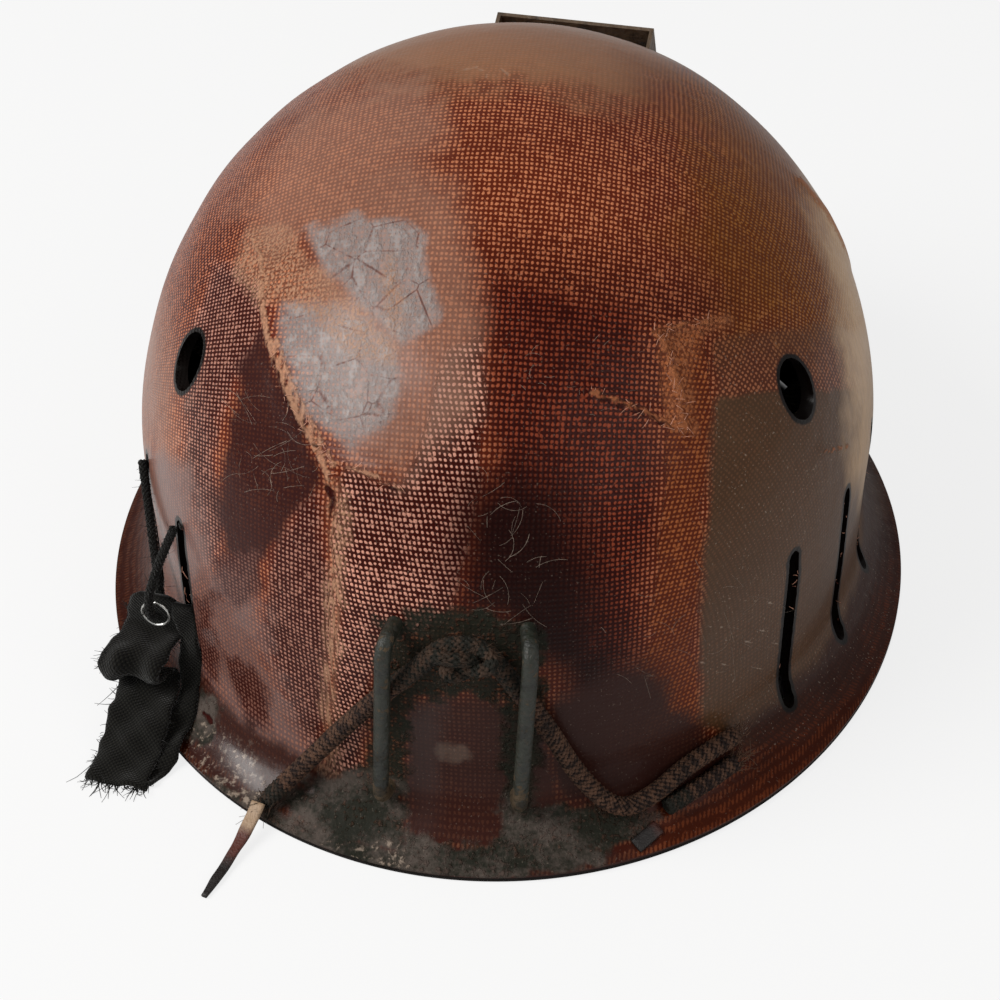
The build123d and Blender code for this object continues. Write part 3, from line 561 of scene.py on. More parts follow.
def mesh_piece(name, points, faces, finish, body, fields=None):
    """Object of a mesh given in metres, which rides on a body."""
    mesh = bpy.data.meshes.new(name)
    mesh.from_pydata([tuple(point) for point in points], [], faces)
    for key, values in (fields or {}).items():
        keep_numbers(mesh, key, values)
    mesh.validate()
    mesh.update()
    mesh.materials.append(finish)
    for polygon in mesh.polygons:
        polygon.use_smooth = True
    piece = bpy.data.objects.new(name, mesh)
    bpy.context.scene.collection.objects.link(piece)
    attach(piece, body)
    return piece


def spline_line(points, steps=12):
    """Points along the NURBS spline whose control points are given in metres."""
    curve = bpy.data.curves.new("route", "CURVE")
    curve.dimensions = "3D"
    curve.resolution_u = steps
    spline = curve.splines.new("NURBS")
    spline.points.add(len(points) - 1)
    for control, point in zip(spline.points, points):
        control.co = (*point, 1)
    spline.order_u = 3
    spline.use_endpoint_u = True
    holder = bpy.data.objects.new("route", curve)
    mesh = bpy.data.meshes.new_from_object(holder)
    line = np.array([vertex.co for vertex in mesh.vertices])
    bpy.data.objects.remove(holder)
    bpy.data.meshes.remove(mesh)
    bpy.data.curves.remove(curve)
    return line


def even(line, step):
    """The line again, with points a step apart."""
    line = np.asarray(line, float)
    gaps = np.linalg.norm(np.diff(line, axis=0), axis=1)
    keep = np.concatenate([[True], gaps > 1e-9])
    line = line[keep]
    reach = np.concatenate([[0], np.cumsum(np.linalg.norm(np.diff(line, axis=0), axis=1))])
    marks = np.linspace(0, reach[-1], max(2, int(ceil(reach[-1] / step)) + 1))
    return np.stack([np.interp(marks, reach, line[:, axis]) for axis in range(3)], 1), marks


def unit(vectors):
    return vectors / np.linalg.norm(vectors, axis=-1, keepdims=True)


def frames(line):
    """Two directions square to a line at each of its points, which don't twist along it."""
    ahead = unit(np.gradient(line, axis=0))
    aside = np.cross(ahead[0], (0, 0, 1))
    if np.linalg.norm(aside) < 0.1:
        aside = np.cross(ahead[0], (1, 0, 0))
    sides = []
    for step in ahead:
        aside = unit(aside - step * aside.dot(step))
        sides.append(aside)
    return np.array(sides), np.cross(ahead, np.array(sides))


def ring_faces(rings, sides, first=0, closed=False):
    """Faces between rings of points in a row: capped at both ends, or closed into a loop without caps."""
    faces = []
    for ring in range(rings if closed else rings - 1):
        low, high = first + ring * sides, first + (ring + 1) % rings * sides
        for side in range(sides):
            after = (side + 1) % sides
            faces.append((low + side, low + after, high + after, high + side))
    if not closed:
        last = first + (rings - 1) * sides
        faces += [tuple(reversed(range(first, first + sides))), tuple(range(last, last + sides))]
    return faces


def tube_points(line, radii, sides):
    """Points of a tube round a line, ring after ring."""
    radii = np.broadcast_to(np.asarray(radii, float), (len(line),))
    aside, above = frames(line)
    turns = (np.arange(sides) * 2 * pi / sides)[None, :, None]
    ring = aside[:, None] * np.cos(turns) + above[:, None] * np.sin(turns)
    return (line[:, None] + ring * radii[:, None, None]).reshape(-1, 3)


def tubes_piece(name, parts, finish, body, fields=None):
    """Object of several tubes, each a line, its radii and its sides; fields gives numbers for its points."""
    points, faces, total = [], [], 0
    for line, radii, sides in parts:
        points.append(tube_points(line, radii, sides))
        faces += ring_faces(len(line), sides, total)
        total += len(points[-1])
    points = np.concatenate(points)
    return mesh_piece(name, points, faces, finish, body, fields(points) if fields else None)


def braid_parts(line, width, strand, pitch, strands=8):
    """Strands of a round braid along a line, each way round, over and under each other, and its path."""
    line, marks = even(line, 0.00055)
    aside, above = frames(line)
    middle = width / 2 - strand * 0.5
    parts = []
    for hand in (-1, 1):
        for number in range(strands):
            turn = hand * 2 * pi * marks / pitch + 2 * pi * number / strands
            reach = middle + hand * np.cos(2 * pi * strands * marks / pitch) * strand * 0.26
            offset = aside * np.cos(turn)[:, None] + above * np.sin(turn)[:, None]
            parts.append((line + offset * reach[:, None], strand * 0.56, 6))
    parts.append((line, width / 2 - strand * 0.6, 12))
    return parts, line


def ribbon_mesh(line, width, thick, aside, across_steps=8, shape=None, wave=None, first=0):
    """Flat band with rounded edges along a line, and the numbers that its cloth follows. aside is its level
    direction across. shape gives the half-width's share along it, and wave its lift at each place."""
    line, marks = even(line, 0.0011)
    aside = np.broadcast_to(np.asarray(aside, float), line.shape)
    out = unit(np.cross(unit(np.gradient(line, axis=0)), aside))
    steps = np.linspace(-1, 1, across_steps + 1)
    top = np.sqrt(np.clip(1 - np.abs(steps) ** 8, 0, 1)) * 0.5 + 0.12 * (np.abs(steps) < 0.999)
    ring_across = np.concatenate([steps, steps[::-1]])
    ring_up = np.concatenate([top, -top[::-1]])
    share_across = np.ones((len(line), 1)) if shape is None else shape(marks)[:, None]
    half = width / 2 * share_across * ring_across[None]
    lift = np.zeros_like(half) if wave is None else wave(marks[:, None], half)
    lift = lift + thick * ring_up[None] / 0.62 * 0.5
    points = line[:, None] + aside[:, None] * half[..., None] + out[:, None] * lift[..., None]
    faces = ring_faces(len(line), len(ring_across), first)
    cloth = np.stack([half, np.broadcast_to(marks[:, None], half.shape), np.zeros_like(half)], -1)
    return points.reshape(-1, 3), faces, cloth.reshape(-1, 3)


def stray_threads(places, aims, rng, reach, radius, curl=0.35):
    """Thin tapered threads that leave places in the aimed directions and curl."""
    parts = []
    for place, aim in zip(places, aims):
        long = reach * rng.uniform(0.4, 1.2)
        aim = unit(np.asarray(aim, float) + rng.normal(0, 0.35, 3))
        bend = rng.normal(0, 1, 3)
        marks = np.linspace(0, 1, 7)[:, None]
        line = place + aim * long * marks + bend * curl * long * marks**2
        line[:, 2] = np.maximum(line[:, 2], radius)
        parts.append((line, radius * (1 - 0.6 * marks[:, 0]), 4))
    return parts


# The shell


def face_radius(level, grow=0.0):
    """Half-width of the shell's face moved outwards by grow, at heights in millimetres."""
    level = np.asarray(level, float)
    rise = np.clip((level - WALL_TOP) / (DOME_RISE + grow), 0, 1)
    dome = (HALF_WIDTH + grow) * np.sqrt(1 - rise**2)
    drop = np.clip(FLARE_HEIGHT - level, 0, FLARE_RADIUS - grow)
    flare = FLARE_CENTRE - np.sqrt((FLARE_RADIUS - grow) ** 2 - drop**2)
    return np.where(level > WALL_TOP, dome, np.where(level < FLARE_HEIGHT, flare, HALF_WIDTH + grow))


def shell_profile():
    """Rows of the shell from its crown over the lip to the inner crown: half-width, height and growth."""
    rows = []
    for grow in (0.0, -WALL):
        half, radius = HALF_WIDTH + grow, FLARE_RADIUS - grow
        turns = np.radians(np.linspace(89.2, 0, 400))
        dome = np.stack([half * np.cos(turns), WALL_TOP + (DOME_RISE + grow) * np.sin(turns)], 1)
        reach = np.concatenate([[0], np.cumsum(np.hypot(*np.diff(dome, axis=0).T))])
        marks = np.linspace(0, reach[-1], 76)
        dome = np.stack([np.interp(marks, reach, dome[:, axis]) for axis in range(2)], 1)
        wall = np.linspace(WALL_TOP, FLARE_HEIGHT, 19)[1:]
        wall = np.stack([np.full(len(wall), half), wall], 1)
        floor = LIP if grow == 0 else 0.0
        bends = np.linspace(0, asin((FLARE_HEIGHT - floor) / radius), 16)[1:]
        flare = np.stack([FLARE_CENTRE - radius * np.cos(bends), FLARE_HEIGHT - radius * np.sin(bends)], 1)
        sheet = np.concatenate([dome, wall, flare])
        rows.append(np.column_stack([sheet, np.full(len(sheet), grow)]))
    edge = rows[0][-1, 0]
    lip = np.array([(edge, 0.9, 0.0), (edge - 0.35, 0.15, -0.4), (edge - 1.0, 0.0, -1.6)])
    return rows[0], lip, rows[1][::-1]


def shell_columns():
    """Angles of the shell's columns from the rear, closer together at the slots."""
    angles, angle = [], -180.0
    centres = [side * slot for slot in SLOT_ANGLES for side in (-1, 1)]
    while angle < 179.4:
        angles.append(angle)
        near = min(abs(angle - centre) for centre in centres) < 2.3
        angle += 0.34 if near else (1.0 if abs(angle) < 100 else 2.2)
    return np.array(angles)


def ring_point(radius, angle, level, grow=0.0):
    ratio = (HALF_LENGTH + grow) / (HALF_WIDTH + grow)
    turn = np.radians(angle)
    return np.stack(np.broadcast_arrays(radius * np.sin(turn), -radius * ratio * np.cos(turn), level), -1)


def level_out(angle):
    """Level direction out of the straight wall at an angle from the rear."""
    return unit(np.array([sin(radians(angle)) / HALF_WIDTH, -cos(radians(angle)) / HALF_LENGTH, 0.0]))


def outward_at(points):
    """Direction out of the shell's face at points in millimetres."""
    lift = np.clip(points[..., 2] - WALL_TOP, 0, None) / DOME_RISE**2
    return unit(np.stack([points[..., 0] / HALF_WIDTH**2, points[..., 1] / HALF_LENGTH**2, lift], -1))


def slot_rim(phase, across, rise):
    """Place beside a slot's middle line and the half-width there, which is ragged."""
    stem = (SLOT_TOP - SLOT_FLOOR - SLOT_WIDTH) / 2
    ragged = 0.1 * np.sin(rise * 2.3 + phase) + 0.08 * np.sin(rise * 3.7 + 2 * phase)
    half = (SLOT_WIDTH / 2) * (1.0 - 0.12 * (rise / 27) ** 2) + ragged * (0.4 + (across > 0))
    return across, rise - np.clip(rise, -stem, stem), half


def vent_rim(across, rise):
    """Place from a vent's middle and how far its rim is from there in that direction."""
    bearing = np.arctan2(rise / VENT_LENGTH, across / VENT_WIDTH)
    return across, rise, np.hypot(np.cos(bearing) * VENT_WIDTH / 2, np.sin(bearing) * VENT_LENGTH / 2)


def openings():
    """The shell's slots and vents: middle, directions across, up and out, and the function of the rim."""
    found = []
    upright = np.array((0, 0, 1.0))
    for side in (-1, 1):
        for number, angle in enumerate(SLOT_ANGLES):
            origin = ring_point(HALF_WIDTH, side * angle, (SLOT_FLOOR + SLOT_TOP) / 2)
            out = level_out(side * angle)
            rim = partial(slot_rim, number * 1.9 + side)
            found.append((origin, np.cross(upright, out), upright, out, rim))
        origin = ring_point(face_radius(VENT_HEIGHT), side * VENT_ANGLE, VENT_HEIGHT)
        out = outward_at(origin)
        aside = unit(np.cross(upright, out))
        found.append((origin, aside, np.cross(out, aside), out, vent_rim))
    return found


def photo_place(points):
    """Pixels of points in millimetres."""
    away = points - CAMERA_PLACE
    depth = away @ CAMERA_AHEAD
    return np.stack([
        PHOTO_MIDDLE + CAMERA_FOCUS * (away @ CAMERA_RIGHT) / depth,
        PHOTO_MIDDLE - CAMERA_FOCUS * (away @ CAMERA_UP) / depth,
    ], -1)


def shell_spot(column, row):
    """Point of the shell's outer face under a pixel, in millimetres, and the direction out of it."""
    aim = CAMERA_RIGHT * (column - PHOTO_MIDDLE) - CAMERA_UP * (row - PHOTO_MIDDLE)
    aim = unit(CAMERA_AHEAD * CAMERA_FOCUS + aim)
    marks = np.linspace(300, 800, 5001)
    trail = CAMERA_PLACE + marks[:, None] * aim
    spread = np.hypot(trail[:, 0], trail[:, 1] * HALF_WIDTH / HALF_LENGTH)
    inside = (trail[:, 2] < HEIGHT) & (trail[:, 2] > 0)
    inside &= spread <= face_radius(np.clip(trail[:, 2], 0, HEIGHT))
    spot = trail[int(inside.argmax())]
    return spot, outward_at(spot)


# Outlines of the shell's zones, in pixels of the photograph
ZONES = {
    "crown": [[(300, -60), (330, 60), (420, 88), (520, 82), (620, 100), (700, 60), (700, -80)]],
    "ochre": [[(640, 60), (700, 130), (690, 230), (740, 330), (900, 350), (900, 100)]],
    "dark": [[
        (488, 275), (560, 285), (645, 300), (655, 400), (664, 480), (655, 560), (640, 650), (590, 700),
        (530, 640), (500, 612), (452, 610), (474, 540), (486, 470), (480, 380),
    ]],
    "dusk": [
        [(476, 236), (560, 244), (650, 262), (716, 300), (700, 380), (650, 440), (560, 430), (478, 400)],
        [(186, 240), (240, 196), (256, 226), (228, 276), (204, 320), (168, 350), (164, 300)],
    ],
    "sunk": [[
        (462, 500), (520, 462), (560, 490), (590, 560), (606, 640), (650, 690), (600, 746), (540, 676),
        (470, 628), (458, 560),
    ]],
    # Rubbed smooth places, which also carry painted sheen and highlight at the upper left and along the left
    # edge
    "rubbed": [
        [(300, 190), (400, 140), (462, 190), (478, 330), (468, 420), (400, 478), (350, 452), (320, 330)],
        [(236, 210), (300, 110), (420, 70), (450, 130), (330, 220), (270, 250)],
        [(150, 430), (176, 430), (182, 570), (160, 580)],
        [(130, 330), (160, 300), (170, 350), (176, 430), (160, 480), (134, 420)],
    ],
    "upper_wall": [[(688, 328), (770, 326), (880, 330), (880, 388), (780, 392), (696, 398)]],
    # Painted highlight along the right edge
    "edge_highlight": [[
        (806, 170), (860, 230), (900, 330), (900, 520), (872, 530), (852, 470), (850, 390), (834, 290),
    ]],
    "ember": [[
        (640, 812), (720, 770), (790, 730), (850, 680), (880, 620), (892, 560), (896, 600), (870, 700),
        (800, 790), (700, 850), (620, 870),
    ]],
    "red_left": [
        [(214, 262), (262, 292), (266, 335), (240, 375), (224, 420), (214, 470), (224, 520), (210, 562),
         (192, 520), (182, 455), (184, 400), (196, 330)],
        [(318, 488), (300, 500), (270, 556), (262, 640), (286, 716), (322, 770), (330, 690),
         (334, 600), (326, 545)],
    ],
    "red_spot": [
        [(190, 590), (212, 592), (220, 680), (206, 692)],
        [(226, 660), (252, 662), (272, 700), (268, 732), (248, 728), (234, 700)],
        [(214, 560), (262, 552), (272, 590), (240, 610), (222, 596)],
    ],
    "pale_band": [
        [(345, 470), (402, 488), (425, 430), (446, 352), (480, 338), (487, 400), (480, 480), (464, 560),
         (448, 622), (385, 640), (366, 700), (352, 790), (326, 780), (334, 690), (340, 600), (330, 545),
         (338, 505)],
    ],
    "orange_band": [[
        (655, 335), (702, 330), (712, 400), (705, 480), (700, 560), (694, 640), (700, 720), (640, 765),
        (632, 700), (650, 640), (657, 560), (664, 480), (668, 430),
    ]],
    "maroon": [[
        (262, 312), (276, 360), (300, 420), (322, 466), (322, 492), (296, 512), (268, 556), (250, 590),
        (228, 560), (214, 500), (224, 425), (240, 372),
    ]],
    # Greyish smooth patches low at the left, with painted sheen over them and along the left edge
    "grey_patch_and_sheen": [
        [(212, 575), (256, 560), (264, 640), (300, 720), (336, 790), (290, 806), (214, 760),
         (190, 700), (176, 600)],
        [(408, 716), (440, 704), (440, 830), (410, 830)],
        [(148, 450), (186, 470), (200, 520), (214, 590), (206, 700), (184, 700), (160, 600)],
    ],
    "scuff": [
        [(284, 306), (330, 302), (388, 332), (402, 372), (388, 428), (350, 448), (322, 428),
         (296, 380), (278, 340)],
        [(308, 234), (356, 216), (424, 232), (432, 322), (402, 346), (368, 312), (334, 276), (312, 258)],
    ],
    "bare_band": [
        [(246, 222), (282, 224), (322, 270), (372, 318), (402, 350), (394, 366), (350, 352), (310, 316),
         (280, 296), (258, 304), (240, 270)],
        [(652, 332), (690, 322), (726, 322), (700, 336), (692, 380), (690, 430), (668, 424), (664, 380)],
        [(328, 480), (346, 500), (344, 560), (338, 640), (336, 778), (322, 770), (326, 640), (330, 545)],
        [(386, 260), (396, 256), (400, 330), (388, 336)],
    ],
    "wall": [[
        (714, 340), (770, 330), (900, 330), (900, 620), (870, 680), (800, 742), (742, 748), (702, 724),
        (698, 640), (706, 560), (710, 480), (716, 400),
    ]],
    "low": [
        [(404, 704), (470, 692), (506, 704), (556, 726), (572, 830), (500, 856), (400, 850)],
        [(540, 700), (640, 668), (700, 730), (760, 752), (690, 800), (560, 815), (540, 760)],
        [(300, 790), (420, 830), (560, 850), (660, 830), (640, 880), (440, 900), (300, 870)],
    ],
    "worn_patch": [[(440, 742), (466, 744), (470, 762), (452, 768), (438, 756)]],
    # Glossy scuffs low at the left, where a highlight is painted
    "glossy_scuff_highlight": [
        [(182, 716), (250, 742), (262, 806), (230, 812), (190, 770)],
        [(286, 842), (400, 846), (404, 872), (340, 876)],
    ],
    "stain": [
        [(372, 646), (374, 616), (430, 606), (500, 612), (542, 630), (550, 700), (542, 760), (536, 812),
         (506, 816), (502, 704), (470, 690), (410, 702), (404, 812), (374, 812), (372, 716)],
        [(182, 766), (250, 800), (330, 832), (420, 862), (420, 884), (300, 866), (180, 800)],
        [(270, 790), (370, 770), (410, 800), (404, 850), (330, 846)],
        [(500, 806), (600, 800), (654, 812), (640, 846), (540, 866), (500, 850)],
        [(390, 838), (500, 844), (600, 838), (610, 862), (500, 884), (390, 884)],
        [(190, 690), (218, 700), (214, 750), (186, 740)],
    ],
}
# Lines of the creases, scratches, and dark cuts and painted shade in the creases: half-width in pixels, then
# the points
LINES = {
    "scar": [
        (3.2, [(262, 296), (270, 342), (285, 385), (300, 420), (318, 450), (330, 478)]),
        (2.2, [(276, 336), (290, 376), (306, 412), (326, 446), (334, 470)]),
        (2.4, [(328, 456), (366, 472), (402, 490)]),
        (3.0, [(590, 392), (632, 406), (668, 424), (684, 432)]),
        (2.4, [(684, 430), (682, 396), (668, 356), (652, 330)]),
        (2.0, [(650, 332), (690, 324), (726, 322)]),
        (1.6, [(664, 338), (672, 380), (680, 424)]),
        (1.8, [(798, 180), (826, 214), (852, 262)]),
        (1.6, [(822, 452), (846, 446)]),
        (1.6, [(248, 222), (262, 258), (264, 296)]),
    ],
    # Painted shade in the crease grooves, and dark cuts
    "crease_shade_and_cuts": [
        (3.4, [(327, 488), (334, 500), (331, 516)]),
        (1.4, [(322, 452), (300, 428), (286, 398), (272, 352)]),
        (1.6, [(366, 476), (404, 494)]),
        (2.4, [(600, 398), (640, 412), (672, 428)]),
        (3.0, [(204, 714), (210, 722)]),
        (0.9, [(400, 486), (470, 560)]),
    ],
    "scratch": [
        (0.8, [(456, 72), (478, 66), (490, 78)]), (0.9, [(484, 78), (500, 68), (508, 74)]),
        (0.7, [(692, 612), (750, 614)]), (0.7, [(700, 626), (778, 632)]), (0.6, [(714, 640), (782, 644)]),
        (0.6, [(700, 662), (776, 670)]), (0.6, [(736, 600), (780, 604)]), (0.6, [(430, 300), (474, 290)]),
        (0.6, [(620, 566), (700, 556)]), (0.6, [(742, 420), (776, 434)]),
    ],
}


# How many creases of the list are frayed, and the threads on each stretch of them and on each slot
FRAYED_CREASES, CREASE_THREADS, SLOT_THREADS = 7, 6, 12
# Where fine pale hairs and scratches lie: left, top, right and bottom pixel, how many and how long
HAIRS = [(468, 478, 540, 620, 34, 30), (236, 400, 318, 500, 40, 34), (316, 330, 384, 430, 16, 18),
         (600, 560, 700, 700, 12, 20), (500, 330, 640, 420, 14, 16), (700, 560, 790, 680, 14, 34)]


def edge_distance(places, first, second):
    first, second = np.array(first, float), np.array(second, float)
    run = second - first
    marks = np.clip(((places - first) @ run) / (run @ run), 0, 1)
    return np.linalg.norm(places - first - marks[:, None] * run, axis=1)


def outline_depth(places, outline):
    """Distance in pixels inside an outline, negative outside."""
    nearest = np.full(len(places), 1e9)
    inside = np.zeros(len(places), bool)
    for first, second in zip(outline, outline[1:] + outline[:1]):
        nearest = np.minimum(nearest, edge_distance(places, first, second))
        (x0, y0), (x1, y1) = first, second
        if y0 != y1:
            crosses = (places[:, 1] > min(y0, y1)) & (places[:, 1] <= max(y0, y1))
            inside ^= crosses & (places[:, 0] < x0 + (places[:, 1] - y0) * (x1 - x0) / (y1 - y0))
    return np.where(inside, nearest, -nearest)


def line_depth(places, half, line):
    nearest = np.min([edge_distance(places, *pair) for pair in zip(line, line[1:])], axis=0)
    return half - nearest


def shell_fields(points, outward, outer):
    """Numbers for the shell's finish at each point, from the zones and lines of the photograph."""
    places = photo_place(points)
    facing = np.einsum("ij,ij->i", outward, unit(CAMERA_PLACE - points))
    hidden = 90 * np.clip(-facing - 0.03, 0, 1) + 60 * ~outer
    fields = {}
    for name, outlines in ZONES.items():
        depth = np.max([outline_depth(places, outline) for outline in outlines], axis=0)
        fields[name] = np.clip(depth - hidden, -60, 60)
    for name, lines in LINES.items():
        depth = np.max([line_depth(places, half, line) for half, line in lines], axis=0)
        fields[name] = np.clip(depth - hidden, -20, 20)
    fields["brim"] = np.clip((15 - points[:, 2]) * 3, -60, 60)
    fields["inside"] = np.where(outer, 0.0, 1.0)
    gaps = []
    for origin, aside, above, out, rim in openings():
        away = points - origin
        *place, half = rim(away @ aside, away @ above)
        gaps.append(np.where(away @ out > -OPENING_REACH, half - np.hypot(*place), -9))
    fields["rim"] = np.clip(np.max(gaps, axis=0), -9, 9)
    x, y, z = points.T
    sideways = np.abs(x) / HALF_WIDTH - 2.4 * np.abs(y) / HALF_LENGTH
    fields["side_sheet"] = np.maximum(fields["wall"], np.clip(sideways * 100, -60, 60))
    fields["stain"] = np.maximum(fields["stain"], np.where(outer, -60, -12))
    fields["crown"] = np.maximum(fields["crown"], np.where(outer & (facing < 0.05), z * 2 - 290, -60))
    rise, lower = z - WALL_TOP, z < WALL_TOP
    rear_up = np.where(lower, rise, REAR_UP * np.arctan2(rise / DOME_RISE, -y / HALF_LENGTH))
    rear_up = np.where(lower & (y > 0), REAR_UP * pi - rise, rear_up)
    rear_across = REAR_ACROSS * np.arcsin(np.clip(x / REAR_ACROSS, -1, 1))
    side_up = np.where(lower, rise, SIDE_UP * np.arctan2(rise / DOME_RISE, np.abs(x) / HALF_WIDTH))
    side_across = SIDE_ACROSS * np.arcsin(np.clip(y / SIDE_ACROSS, -1, 1))
    fields["rear_cloth"] = np.stack([rear_across, rear_up, 0 * rise], 1) * MM
    fields["side_cloth"] = np.stack([side_across, side_up, 0 * rise], 1) * MM
    return fields


def corners_of(cells):
    """Which corners of a grid touch a marked cell; its columns go round the shell."""
    beside = cells | np.roll(cells, 1, 1)
    none = np.zeros((1, cells.shape[1]), bool)
    return np.concatenate([beside, none]) | np.concatenate([none, beside])


def shell_mesh(look):
    """Points, faces and numbers of the whole shell, with ragged slots, round vents and raised creases."""
    outer_rows, lip, inner_rows = shell_profile()
    rows = np.concatenate([outer_rows, lip, inner_rows])
    angles = shell_columns()
    high, wide, sheet = len(rows), len(angles), len(outer_rows)
    points = ring_point(rows[:, :1], angles[None], rows[:, 1:2], rows[:, 2:])
    kept = np.ones((high - 1, wide), bool)
    moves = []
    outer = points[:sheet]
    for origin, aside, above, out, rim in openings():
        away = outer - origin
        near = away @ out > -OPENING_REACH
        across, rise, half = rim(away @ aside, away @ above)
        spread = np.hypot(across, rise)
        depth = np.where(near, spread - half, 99)
        after = np.roll(depth, -1, 1)
        gone = depth[:-1] + depth[1:] + after[:-1] + after[1:] < 0
        kept[: sheet - 1] &= ~gone
        kept[high - sheet:] &= ~gone[::-1]
        shift = np.where(near, (half - spread) / np.maximum(spread, 0.4), 0)
        moves.append((gone, shift[..., None] * (across[..., None] * aside + rise[..., None] * above)))
    for gone, shift in moves:
        for row, column in zip(*np.nonzero(corners_of(gone) & corners_of(~gone))):
            moved = outer[row, column] + shift[row, column]
            bearing = degrees(atan2(moved[0] / HALF_WIDTH, -moved[1] / HALF_LENGTH))
            for target, growth in ((row, 0.0), (high - 1 - row, -WALL)):
                points[target, column] = ring_point(face_radius(moved[2], growth), bearing, moved[2], growth)
    flat = points.reshape(-1, 3)
    outward = outward_at(flat)
    is_outer = np.repeat(np.arange(high) < sheet, wide)
    fields = shell_fields(flat, outward, is_outer)
    ridge = np.exp(-(np.clip(3 - fields["scar"], 0, None) / 5) ** 2) * look.crease_height / MM
    dent = np.exp(-(np.clip(2 - fields["crease_shade_and_cuts"], 0, None) / 4) ** 2) * 0.5
    wobble = 0.22 * np.sin(flat[:, 0] * 0.083 + 1.1) * np.sin(flat[:, 2] * 0.071 + 0.4)
    wobble += 0.12 * np.sin(flat[:, 0] * 0.21 + flat[:, 2] * 0.17)
    calm = np.clip((flat[:, 2] - 30) / 20, 0, 1) * np.clip((150 - flat[:, 2]) / 20, 0, 1)
    flat = flat + outward * (is_outer * (ridge - dent + wobble * calm))[:, None]
    faces = []
    for row, column in zip(*np.nonzero(kept)):
        here, below, after = row * wide, (row + 1) * wide, (column + 1) % wide
        faces.append((here + column, below + column, below + after, here + after))
    for row, column in zip(*np.nonzero(~kept[: sheet - 1])):
        after, before = (column + 1) % wide, (column - 1) % wide
        sides = [
            (kept[row - 1, column], (row, column), (row, after)),
            (kept[row + 1, column], (row + 1, after), (row + 1, column)),
            (kept[row, before], (row + 1, column), (row, column)),
            (kept[row, after], (row, after), (row + 1, after)),
        ]
        for rim, (r0, c0), (r1, c1) in sides:
            if rim:
                inside = [((high - 1 - r) * wide + c) for r, c in ((r1, c1), (r0, c0))]
                faces.append((r0 * wide + c0, r1 * wide + c1, *inside))
    crowns = np.array([(0, 0, HEIGHT), (0, 0, HEIGHT - WALL)])
    flat = np.concatenate([flat, crowns])
    for column in range(wide):
        after = (column + 1) % wide
        faces.append((high * wide, column, after))
        faces.append((high * wide + 1, (high - 1) * wide + after, (high - 1) * wide + column))
    for name, values in fields.items():
        fields[name] = np.concatenate([values, values[:1], values[-1:]])
    return flat * MM, faces, fields


# Operators


class HELMET_OT_stage(bpy.types.Operator):
    """Makes the camera, the floor and the soft lamps"""

    bl_idname = "helmet.stage"
    bl_label = "Stage"

    def execute(self, context):
        look = context.scene.helmet_stage
        data = bpy.data.cameras.new("camera")
        data.sensor_width = SENSOR
        data.lens = CAMERA_FOCUS / (2 * PHOTO_MIDDLE) * SENSOR
        data.clip_start = 0.01
        camera = bpy.data.objects.new("camera", data)
        axes = np.eye(4)
        axes[:3, 0], axes[:3, 1], axes[:3, 2] = CAMERA_RIGHT, CAMERA_UP, -CAMERA_AHEAD
        axes[:3, 3] = CAMERA_PLACE * MM
        camera.matrix_world = Matrix(axes.tolist())
        context.scene.collection.objects.link(camera)
        context.scene.camera = camera
        context.scene.view_settings.view_transform = "Standard"

        mesh = bpy.data.meshes.new("floor")
        corners = [(x * FLOOR_REACH, y * FLOOR_REACH, 0) for x, y in ((-1, -1), (1, -1), (1, 1), (-1, 1))]
        mesh.from_pydata(corners, [], [(0, 1, 2, 3)])
        floor = bpy.data.objects.new("floor", mesh)
        context.scene.collection.objects.link(floor)
        finish = Finish("floor_paper")
        grain = finish.noise(3, 2)
        colour = finish.mix(look.floor, darker(look.floor, 0.985), grain)
        mesh.materials.append(finish.cover(Base_Color=colour, Roughness=0.9, Specular_IOR_Level=0.1))
        across, along, _ = finish.place.split()
        far = (across * across * 60 + along * along * 44).step(0.8, 0.92)
        finish.brighten(tuple(look.paper), far * look.evenness)

        sky = Finish("sky", bpy.data.worlds.new("sky"))
        seen = sky.node("ShaderNodeLightPath", output="Is Camera Ray")
        strength = seen * (0.97 - look.sky) + look.sky
        inputs = {"Color": (0.97, 0.985, 1.0, 1), "Strength": strength}
        light = sky.node("ShaderNodeBackground", inputs=inputs)
        sky.node("ShaderNodeOutputWorld", inputs={"Surface": light}, output=None)
        context.scene.world = sky.material
        aim = Vector((0, -0.05, 0.08))
        lamps = (
            ("key_lamp", look.key, 0.95, (-1.16, -0.55, 1.18), (1.0, 0.985, 0.96)),
            ("fill_lamp", look.fill, 1.2, (1.3, -1.0, 1.2), (1.0, 0.95, 0.9)),
        )
        for name, power, size, place, colour in lamps:
            lamp = bpy.data.lights.new(name, "AREA")
            lamp.energy = power
            lamp.size = size
            lamp.color = colour
            holder = bpy.data.objects.new(name, lamp)
            holder.location = place
            holder.rotation_euler = (aim - Vector(place)).to_track_quat("-Z", "Y").to_euler()
            context.scene.collection.objects.link(holder)
        return {"FINISHED"}


